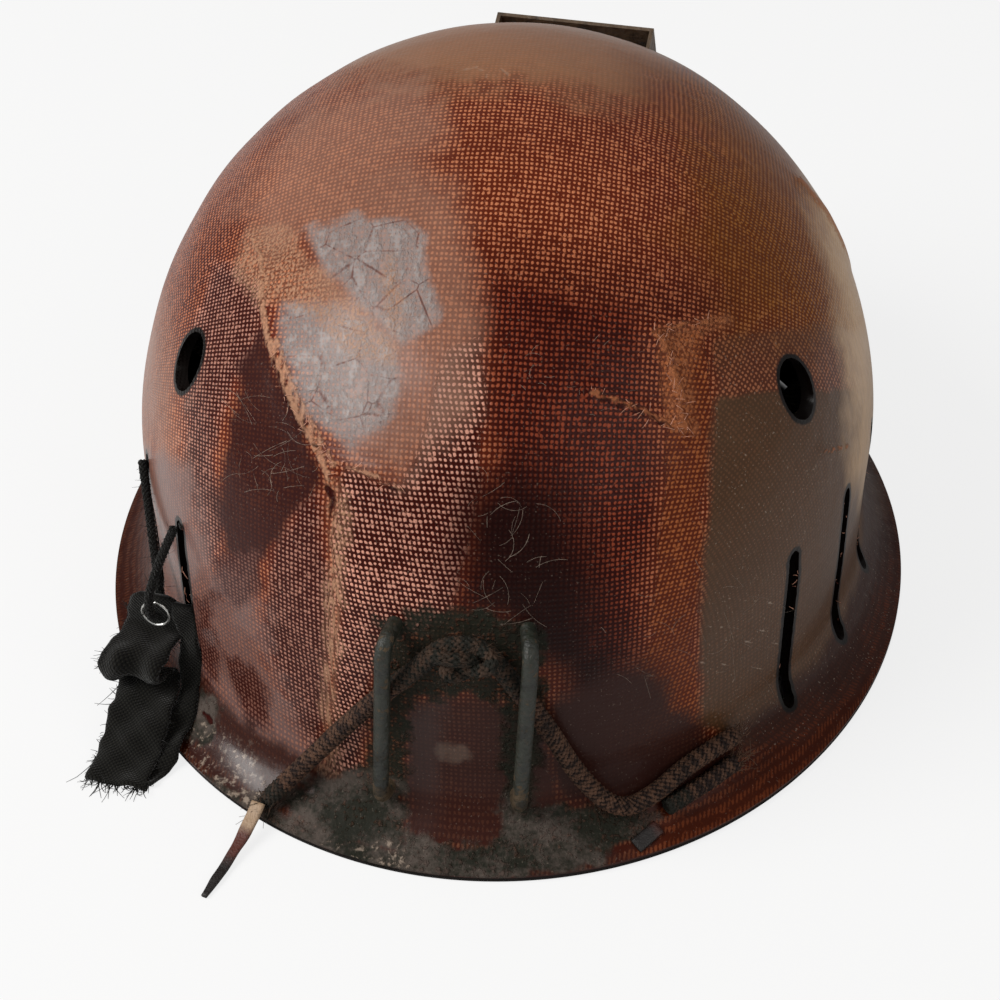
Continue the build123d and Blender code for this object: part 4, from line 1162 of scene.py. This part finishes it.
# Routes of the cords, as in the part's source
CORD_ROUTE = [
    (-0.0548, -0.1271, 0.0069), (-0.0429, -0.1217, 0.0188), (-0.0235, -0.1282, 0.0480),
    (-0.0120, -0.1304, 0.0614), (-0.0052, -0.1302, 0.0698), (0.0044, -0.1301, 0.0696),
    (0.0104, -0.1305, 0.0606), (0.0199, -0.1290, 0.0436), (0.0286, -0.1268, 0.0226),
    (0.0396, -0.1279, 0.0110), (0.0496, -0.1219, 0.0130), (0.0572, -0.1140, 0.0166),
    (0.0701, -0.1031, 0.0176),
]
TAIL_ROUTE = [
    (0.0524, -0.1233, 0.0094), (0.0592, -0.1176, 0.0102), (0.0648, -0.1129, 0.0110),
    (0.0703, -0.1076, 0.0120),
]
THONG_ROUTE = [(-0.0570, -0.1287, 0.0074), (-0.05994, -0.13704, 0.00075), (-0.0668, -0.1565, 0.00075)]
THONG_CUT = [(0.0504, -0.1270), (0.0446, -0.1332)]
# Where the cut end lies in the pattern that runs along the thong
CUT_START = 0.0168
KNOT_PLACE = (-0.0006, -0.1328, 0.0666)


class HELMET_OT_cords(bpy.types.Operator):
    """Makes the braided cord with its knot and folded end, and the two ends of the flat thong"""

    bl_idname = "helmet.cords"
    bl_label = "Cord and thong"

    def execute(self, context):
        look = context.scene.helmet_cords
        rng = np.random.default_rng(SEED)
        finish = cord_finish("cord_braid", look)
        knot_finish = cord_finish("cord_knot", look, 0.25)

        line = spline_line(CORD_ROUTE)
        strand, pitch = look.strand_width, look.braid_pitch
        parts, path = braid_parts(line, look.cord_width, strand, pitch)
        tail_line = spline_line(TAIL_ROUTE)
        tail_parts, tail_path = braid_parts(tail_line, look.cord_width * 0.95, strand, pitch)
        frayed = (
            (path[0], path[4], 90, 0.0042),
            (path[-1], path[-5], 30, 0.0034),
            (tail_path[-1], tail_path[-5], 50, 0.005),
        )
        ends = []
        for place, before, count, reach in frayed:
            starts = place + rng.normal(0, look.cord_width * 0.24, (count, 3))
            aims = np.tile(unit(place - before), (count, 1))
            ends += stray_threads(starts, aims, rng, reach, 0.00016, 0.4)
        cord = self.braid_piece("hat_cord_braid", parts, path, finish, look)
        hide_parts("hat_cord")
        knot = self.knot(look, rng, knot_finish)
        tail = self.braid_piece("cord_tail_braid", tail_parts, tail_path, finish, look)
        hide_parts("cord_tail")
        frays = self.braid_piece("cord_frays", ends, path, finish, look)
        leather = thong_finish(look)
        cut = self.cut_end(look, leather)
        self.thong(look, leather)
        return {"FINISHED"}

    def braid_piece(self, name, parts, path, finish, look):
        def fields(points):
            near = np.argmin(((points[:, None] - path[None, ::6]) ** 2).sum(-1), axis=1)
            reach = np.linalg.norm(points - path[::6][near], axis=1)
            rise = np.clip((reach - look.cord_width * 0.46) / (look.cord_width * 0.09), 0, 1)
            high = np.clip((points[:, 2] - 0.05) / 0.012, 0, 1)
            at_end = np.clip(1.6 - np.linalg.norm(points - path[0], axis=1) / 0.006, 0, 1)
            return {"rise": rise, "stained": np.maximum(high, at_end)}

        return tubes_piece(name, parts, finish, "helmet", fields)

    def knot(self, look, rng, finish):
        turns = np.linspace(0, 2 * pi, 150, endpoint=False)
        x = np.sin(turns) + 2 * np.sin(2 * turns)
        z = np.cos(turns) - 2 * np.cos(2 * turns)
        y = -np.sin(3 * turns)
        loop = np.stack([x * 0.0028, y * 0.002, z * 0.0013], 1) + KNOT_PLACE
        loop = np.concatenate([loop, loop[:1]])
        parts, path = braid_parts(loop, look.knot_width, look.strand_width * 0.9, look.braid_pitch, 6)
        starts = loop[rng.integers(0, 150, 60)]
        aims = starts - np.array(KNOT_PLACE)
        aims[:, 1] -= 0.003
        aims = unit(aims)
        parts += stray_threads(starts + aims * 0.0016, aims, rng, 0.0022, 0.00012, 0.5)

        def fields(points):
            near = np.min(np.linalg.norm(points[:, None] - path[None, ::8], axis=2), axis=1)
            rise = np.clip((near - look.knot_width * 0.5) / 0.0003, 0, 1)
            return {"rise": rise, "stained": np.ones(len(points))}

        return tubes_piece("cord_knot", parts, finish, "helmet", fields)

    def thong(self, look, finish):
        line = spline_line(THONG_ROUTE)
        path, _ = even(line, 0.0011)
        aside = unit(np.cross(path[-1] - path[0], (0, 0, 1)))
        whole = float(np.linalg.norm(np.diff(path, axis=0), axis=1).sum())
        stops, shares = (0, 0.009, 0.014, whole - 0.006, whole), (1.0, 0.95, 0.74, 0.7, 0.42)
        points, faces, cloth = ribbon_mesh(
            line, look.thong_width, look.thong_thick, aside, 8,
            lambda marks: np.interp(marks, stops, shares), lambda marks, _: 0.00012 * np.sin(marks * 700),
        )
        piece = mesh_piece("thong_left_strip", points, faces, finish, "helmet", {"cloth": cloth})
        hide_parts("thong_left")

    def cut_end(self, look, finish):
        ends = []
        for x, y in THONG_CUT:
            spread = hypot(x, y * HALF_WIDTH / HALF_LENGTH) / MM
            level = FLARE_HEIGHT - sqrt(FLARE_RADIUS**2 - (FLARE_CENTRE - spread) ** 2)
            ends.append(np.array((x, y, (level + 0.9) * MM)))
        out = outward_at(np.array((x, y, 0.0))) + np.array((0, 0, 1.6))
        aside = unit(np.cross(ends[1] - ends[0], out))
        points, faces, cloth = ribbon_mesh(np.array(ends), look.thong_width, look.thong_thick, aside)
        cloth[:, 1] += CUT_START
        piece = mesh_piece("thong_right_strip", points, faces, finish, "helmet", {"cloth": cloth})
        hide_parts("thong_right")
        return piece


class HELMET_OT_shell(bpy.types.Operator):
    """Makes the worn shell of resin and canvas and the loose threads of its tears"""

    bl_idname = "helmet.shell"
    bl_label = "Shell"

    def execute(self, context):
        look = context.scene.helmet_shell
        points, faces, fields = shell_mesh(look)
        shell = mesh_piece("shell_skin", points, faces, shell_finish(look), "helmet", fields)
        shell.data.set_sharp_from_angle(angle=radians(52))
        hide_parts("shell")
        rng = np.random.default_rng(SEED)
        parts = []
        for half, line in LINES["scar"][:FRAYED_CREASES]:
            for first, second in zip(line, line[1:]):
                for _ in range(CREASE_THREADS):
                    mark = rng.uniform()
                    pixel = np.array(first) * (1 - mark) + np.array(second) * mark
                    spot, out = shell_spot(*(pixel + rng.normal(0, half, 2)))
                    aim = unit(np.cross(out, rng.normal(0, 1, 3))) + out * 0.1
                    parts += stray_threads([(spot + out * 0.6) * MM], [aim], rng, 0.0028, 0.00009, 0.12)
        for side in (-1, 1):
            for angle in SLOT_ANGLES:
                out = level_out(side * angle)
                for _ in range(SLOT_THREADS):
                    level = rng.uniform(SLOT_FLOOR + 4, SLOT_TOP - 1)
                    edge = rng.choice((-1, 1))
                    spot = ring_point(face_radius(level), side * angle + edge * 1.25, level) - out * 0.5
                    aim = np.cross((0, 0, 1), out) * -edge + np.array((0, 0, rng.normal(0, 0.5)))
                    parts += stray_threads([spot * MM], [aim], rng, 0.0016, 0.00014)
        tubes_piece("shell_frays", parts, canvas_thread_finish(look), "helmet")
        self.hairs(look, shell, rng)
        return {"FINISHED"}

    def hairs(self, look, shell, rng):
        """Fine pale hairs and scratches that lie on the shell."""
        bpy.context.view_layer.update()
        parts = []
        for left, top, right, bottom, count, reach in HAIRS:
            for _ in range(count):
                column, row = rng.uniform(left, right), rng.uniform(top, bottom)
                heading, bend, line = rng.uniform(0, 2 * pi), rng.normal(0, 0.11), []
                pace = reach * rng.uniform(0.3, 1.2) / 7
                for _ in range(8):
                    spot, _ = shell_spot(column, row)
                    _, place, normal, _ = shell.closest_point_on_mesh(Vector(spot * MM))
                    line.append(np.array(place + normal * 0.00002))
                    column, row = column + pace * cos(heading), row + pace * sin(heading)
                    heading += bend
                parts.append((np.array(line), 0.000035 * rng.uniform(0.5, 1.2), 4))
        made = Finish("hair_dust")
        colour = made.mix(look.pale, look.purple, 0.38 + 0.5 * made.noise(500, 2).step(0.35, 0.7))
        tubes_piece("shell_hairs", parts, made.cover(Base_Color=colour, Roughness=0.7), "helmet")


# The strap's line in its own upright plane, as in the part's source: distance out and height
STRAP_PLACE, STRAP_HEADING = (-0.0927, -0.0811), 9.6
STRAP_LINE = [
    (0.0, 0.0375), (0.0, 0.0310), (0.0, 0.0245), (0.0135, 0.0230), (0.0135, 0.0166), (0.0052, 0.0158),
    (0.0056, 0.0126), (0.0220, 0.0092), (0.0320, 0.0015), (0.0387, 0.0011),
]
# How far the crumpled cloth strays to the left of that line
STRAP_SHIFTS = (0.0, 0.0, 0.0008, 0.0042, 0.0046, 0.0036, 0.001, -0.0006, 0.0, 0.0)
# The narrow strip under the strap, its back layer, which also stands in for the shade beside the strap:
# distance to the right, distance out and height
UNDER_STRIP = [
    (0.0085, 0.0006, 0.0365), (0.0095, 0.0016, 0.0280), (0.0105, 0.0032, 0.0185), (0.0110, 0.0080, 0.0108),
    (0.0112, 0.0150, 0.0072), (0.0110, 0.0220, 0.0050), (0.0095, 0.0320, 0.0009), (0.0070, 0.0370, 0.0009),
]
UNDER_WIDTH = 0.0066
EYELET_HEIGHT = 0.031
LACE_STARTS = [(-0.0841, -0.08238, 0.063), (-0.09949, -0.05326, 0.063)]
LACE_FRONT, LACE_BACK = 0.0042, 0.0036
# How many loose threads: on the strap's edges, at its end and on the lace
EDGE_THREADS, END_THREADS, LACE_THREADS = 150, 70, 340
# Where longer threads hang from the strap: share of its length, and side
LONG_THREADS = ((0.62, -1), (0.7, -1), (0.93, -1), (0.98, -1), (0.96, 1), (0.8, 1), (0.5, 1))
# Points round the eyelet's ring, and round the ring's section
EYELET_RINGS, EYELET_SIDES = 56, 18


def strap_frame():
    out = np.array([-sin(radians(STRAP_HEADING)), -cos(radians(STRAP_HEADING)), 0.0])
    origin = np.array([*STRAP_PLACE, 0.0])
    return origin, out, np.cross((0, 0, 1), out)


class HELMET_OT_strap(bpy.types.Operator):
    """Makes the black strap, its eyelet and the lace that it hangs on"""

    bl_idname = "helmet.strap"
    bl_label = "Strap and lace"

    def execute(self, context):
        look = context.scene.helmet_strap
        rng = np.random.default_rng(SEED + 1)
        cloth = cloth_finish("strap_cloth", look.cloth, look.cloth_light, 0.0012, 0.7, 0.1)
        origin, out, aside = strap_frame()
        route = [
            origin + out * distance - aside * shift + np.array((0, 0, height))
            for (distance, height), shift in zip(STRAP_LINE, STRAP_SHIFTS)
        ]
        line = spline_line(route, 10)
        width, thick = look.strap_width, look.strap_thick

        def shape(marks):
            top = np.clip(marks / 0.0065, 0, 1)
            lump = np.exp(-((marks - 0.024) / 0.007) ** 2)
            ragged = 0.035 * np.sin(marks * 900) * np.sin(marks * 310 + 1)
            return (0.52 + 0.48 * np.sqrt(top)) * (1 + ragged + 0.1 * lump)

        def wave(marks, half):
            calm = np.clip((marks - 0.009) / 0.01, 0, 1)
            lump = np.exp(-((marks - 0.024) / 0.008) ** 2)
            lift = 0.0006 * np.sin(marks * 330 + half * 420) + 0.0005 * np.sin(marks * 710 - half * 640 + 1)
            return calm * lift + 0.0014 * lump * (0.4 + np.cos(half * 540 + marks * 90))

        points, faces, numbers = ribbon_mesh(line, width, thick, aside, 24, shape, wave)
        under = [
            origin + out * distance + aside * off + np.array((0, 0, height))
            for off, distance, height in UNDER_STRIP
        ]
        more, rows, more_numbers = ribbon_mesh(
            spline_line(under, 10), UNDER_WIDTH, thick, aside, 12,
            lambda marks: 1 + 0.12 * np.sin(marks * 420) + 0.05 * np.sin(marks * 1300 + 2),
            lambda marks, half: 0.0007 * np.sin(marks * 410 + half * 500 + 1), len(points),
        )
        points, numbers = np.concatenate([points, more]), np.concatenate([numbers, more_numbers])
        points[:, 2] = np.maximum(points[:, 2], 0.00005)
        faces += rows
        strap = mesh_piece("chin_strap_cloth", points, faces, cloth, "strap", {"cloth": numbers})
        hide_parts("chin_strap")
        self.strays(line, aside, width, rng, cloth)
        self.eyelet(look, origin, out, aside)
        self.lace(look, origin, out)
        return {"FINISHED"}

    def strays(self, line, aside, width, rng, finish):
        places, aims = [], []
        path, _ = even(line, 0.0008)
        for _ in range(EDGE_THREADS):
            step = rng.integers(6, len(path) - 1)
            edge = rng.choice((-1, 1))
            places.append(path[step] + aside * edge * width * 0.49)
            aims.append(aside * edge + rng.normal(0, 0.4, 3))
        for _ in range(END_THREADS):
            places.append(path[-1] + aside * rng.uniform(-0.5, 0.5) * width)
            aims.append(unit(path[-1] - path[-4]))
        parts = stray_threads(places[:EDGE_THREADS], aims[:EDGE_THREADS], rng, 0.0018, 0.00013, 0.5)
        parts += stray_threads(places[EDGE_THREADS:], aims[EDGE_THREADS:], rng, 0.0036, 0.00016, 0.5)
        for share_along, edge in LONG_THREADS:
            place = path[int(share_along * (len(path) - 1))] + aside * edge * width * 0.48
            aim = aside * edge * 0.6 + (path[-1] - path[-9]) * 150
            parts += stray_threads([place], [aim], rng, 0.008, 0.00016, 0.3)
        tubes_piece("strap_frays", parts, finish, "strap", lambda points: {"cloth": 0 * points})

    def eyelet(self, look, origin, out, aside):
        outside, bore = look.eyelet_width / 2, look.eyelet_bore / 2
        centre = origin + np.array((0, 0, EYELET_HEIGHT))
        points = []
        for turn in np.linspace(0, 2 * pi, EYELET_RINGS, endpoint=False):
            spoke = aside * cos(turn) + np.array((0, 0, 1)) * sin(turn)
            for bend in np.linspace(0, 2 * pi, EYELET_SIDES, endpoint=False):
                reach = (outside + bore) / 2 + (outside - bore) / 2 * cos(bend)
                lift = 0.00115 * sin(bend) * (1 + 0.06 * sin(turn * 3))
                points.append(centre + spoke * reach + out * lift)
        faces = ring_faces(EYELET_RINGS, EYELET_SIDES, closed=True)
        steel = metal_finish("eyelet_steel", bpy.context.scene.helmet_metal.eyelet, 0.12, 0.33)
        ring = mesh_piece("strap_eyelet", points, faces, steel, "strap")
        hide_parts("strap_grommet")

    def lace(self, look, origin, out):
        bore = origin + np.array((0, 0, EYELET_HEIGHT))
        front, back = bore + out * LACE_FRONT, bore - out * LACE_BACK
        above_front, above_back = front + np.array((0, 0, 0.012)), back + np.array((0, 0, 0.010))
        route = [LACE_STARTS[0], above_front, front, back, above_back, LACE_STARTS[1]]
        line = spline_line(route, 14)
        parts, path = braid_parts(line, look.lace_width, 0.00085, 0.0075, 5)
        rng = np.random.default_rng(SEED + 2)
        picks = rng.integers(2, len(path) - 2, LACE_THREADS)
        aims = rng.normal(0, 1, (LACE_THREADS, 3))
        fuzz = stray_threads(path[picks], aims, rng, 0.0024, 0.00009, 0.4)
        finish = cloth_finish("lace_cotton", look.lace, look.cloth_light, 0.0008, 0.4, 0.1)
        lace, frays = (
            tubes_piece(name, tubes, finish, "lace", lambda points: {"cloth": points})
            for name, tubes in (("strap_lace_cord", parts), ("strap_lace_frays", fuzz))
        )
        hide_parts("strap_lace")


def dress(node, finish):
    """Gives a CAD node this finish."""
    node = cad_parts[node]
    node.data.materials.clear()
    node.data.materials.append(finish)


class HELMET_OT_metal(bpy.types.Operator):
    """Paints the keepers and the lamp bracket and finishes the rivets, washers and hooks"""

    bl_idname = "helmet.metal"
    bl_label = "Wire, sheet and rivets"

    def execute(self, context):
        look = context.scene.helmet_metal
        keeper = chipped_finish("keeper_paint", look.paint_green, look.bare, 0.024)
        for node in ("cable_keeper_left", "cable_keeper_right"):
            dress(node, keeper)
        dress("lamp_bracket", chipped_finish("bracket_paint", look.bracket, look.bare, 0.05, 0.55))
        steel = metal_finish("old_steel", look.steel)
        for node in ("bracket_rivets", "bracket_washers", "keeper_washers", "hanger_hooks"):
            dress(node, steel)
        brass = metal_finish("tarnished_brass", look.brass, 0.25, 0.35)
        for node in ("headband_rivets", "size_studs"):
            dress(node, brass)
        return {"FINISHED"}


class HELMET_OT_cradle(bpy.types.Operator):
    """Makes the webbing cradle, the headband with its lining and the nape band inside the shell"""

    bl_idname = "helmet.cradle"
    bl_label = "Cradle and headband"

    def execute(self, context):
        look = context.scene.helmet_cradle
        webbing = cloth_finish("webbing_cotton", look.webbing_dark, look.webbing, 0.0018, 0.95, 0.25)
        band = leather_finish("band_leather", look.band, look, 0.5, 1100, (0.0155, 0.0415))
        nape = leather_finish("nape_leather", look.band, look, 0.5, 1100, (0.0195, 0.0375))
        lining = leather_finish("lining_leather", look.lining, look, 0.6, 1300)
        lace = cloth_finish("crown_cotton", look.webbing_dark, look.webbing, 0.001, 0.8, 0.25)
        for number in range(1, 7):
            self.softened(f"cradle_arm_{number}", "helmet", webbing, "webbing", 0.0008, 0.00018)
        self.softened("crown_lace", "helmet", lace, "lace", 0.0005, 0.0001)
        strap = context.scene.helmet_strap
        dark_lace = cloth_finish("tied_lace", strap.lace, strap.cloth_light, 0.0008, 0.4, 0.1)
        self.softened("lace_inside", "helmet", dark_lace, "lace", 0.0005, 0.0001)
        self.softened("sweatband", "helmet", lining, "lining", 0.0009, 0.0003)
        pad = self.softened("nape_pad", "nape", lining, "lining", 0.0011, 0.0004)
        dress("headband", band)
        dress("nape_band", nape)
        dress("hanger_pads", band)
        return {"FINISHED"}

    def softened(self, node, body, finish, slot, voxel, swell):
        """A soft piece made from a node's mesh, with rounded edges and an uneven face."""
        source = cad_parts[node]
        mesh = source.data.copy()
        mesh.materials.clear()
        mesh.materials.append(finish)
        piece = bpy.data.objects.new(node + "_soft", mesh)
        bpy.context.scene.collection.objects.link(piece)
        remesh = piece.modifiers.new("even", "REMESH")
        remesh.mode = "VOXEL"
        remesh.voxel_size = voxel
        rounded = piece.modifiers.new("round", "SMOOTH")
        rounded.iterations = 4
        rounded.factor = 0.5
        bpy.context.view_layer.update()
        shaped = bpy.data.meshes.new_from_object(piece.evaluated_get(bpy.context.evaluated_depsgraph_get()))
        piece.modifiers.clear()
        piece.data = shaped
        points = np.array([vertex.co for vertex in shaped.vertices])
        normals = np.array([vertex.normal for vertex in shaped.vertices])
        x, y, z = points.T
        lift = np.sin(x * 410 + z * 230) * np.sin(y * 370 + z * 290)
        points = points + normals * (lift * swell)[:, None]
        shaped.vertices.foreach_set("co", points.ravel())
        x, y, z = points.T
        reach = np.hypot(x, y)
        numbers = np.stack([np.arctan2(y, x) * np.median(reach), z + reach * 0.6, 0 * reach], 1)
        keep_numbers(shaped, "cloth", numbers)
        for polygon in shaped.polygons:
            polygon.use_smooth = True
        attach(piece, body)
        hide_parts(node)
        return piece


class HELMET_PT_panel(bpy.types.Panel):
    """Lists the helmet's pieces and their sizes and colours"""

    bl_idname = "HELMET_PT_panel"
    bl_label = "Miner helmet"
    bl_space_type = "VIEW_3D"
    bl_region_type = "UI"
    bl_category = "Helmet"

    def draw(self, context):
        for operator, group, _ in PIECES:
            box = self.layout.box()
            box.operator(operator.bl_idname)
            values = getattr(context.scene, group)
            for name in values.bl_rna.properties.keys():
                if name not in ("name", "rna_type"):
                    box.prop(values, name)


PIECES = (
    (HELMET_OT_stage, "helmet_stage", HelmetStageSettings),
    (HELMET_OT_cords, "helmet_cords", HelmetCordSettings),
    (HELMET_OT_shell, "helmet_shell", HelmetShellSettings),
    (HELMET_OT_strap, "helmet_strap", HelmetStrapSettings),
    (HELMET_OT_metal, "helmet_metal", HelmetMetalSettings),
    (HELMET_OT_cradle, "helmet_cradle", HelmetCradleSettings),
)


def register():
    for operator, name, group in PIECES:
        bpy.utils.register_class(group)
        setattr(bpy.types.Scene, name, PointerProperty(type=group))
        bpy.utils.register_class(operator)
    bpy.utils.register_class(HELMET_PT_panel)


def unregister():
    bpy.utils.unregister_class(HELMET_PT_panel)
    for operator, name, group in reversed(PIECES):
        bpy.utils.unregister_class(operator)
        delattr(bpy.types.Scene, name)
        bpy.utils.unregister_class(group)


def main():
    register()
    bpy.ops.helmet.stage()
    bpy.ops.helmet.cords()
    bpy.ops.helmet.shell()
    bpy.ops.helmet.strap()
    bpy.ops.helmet.metal()
    bpy.ops.helmet.cradle()


if __name__ == "__main__":
    main()
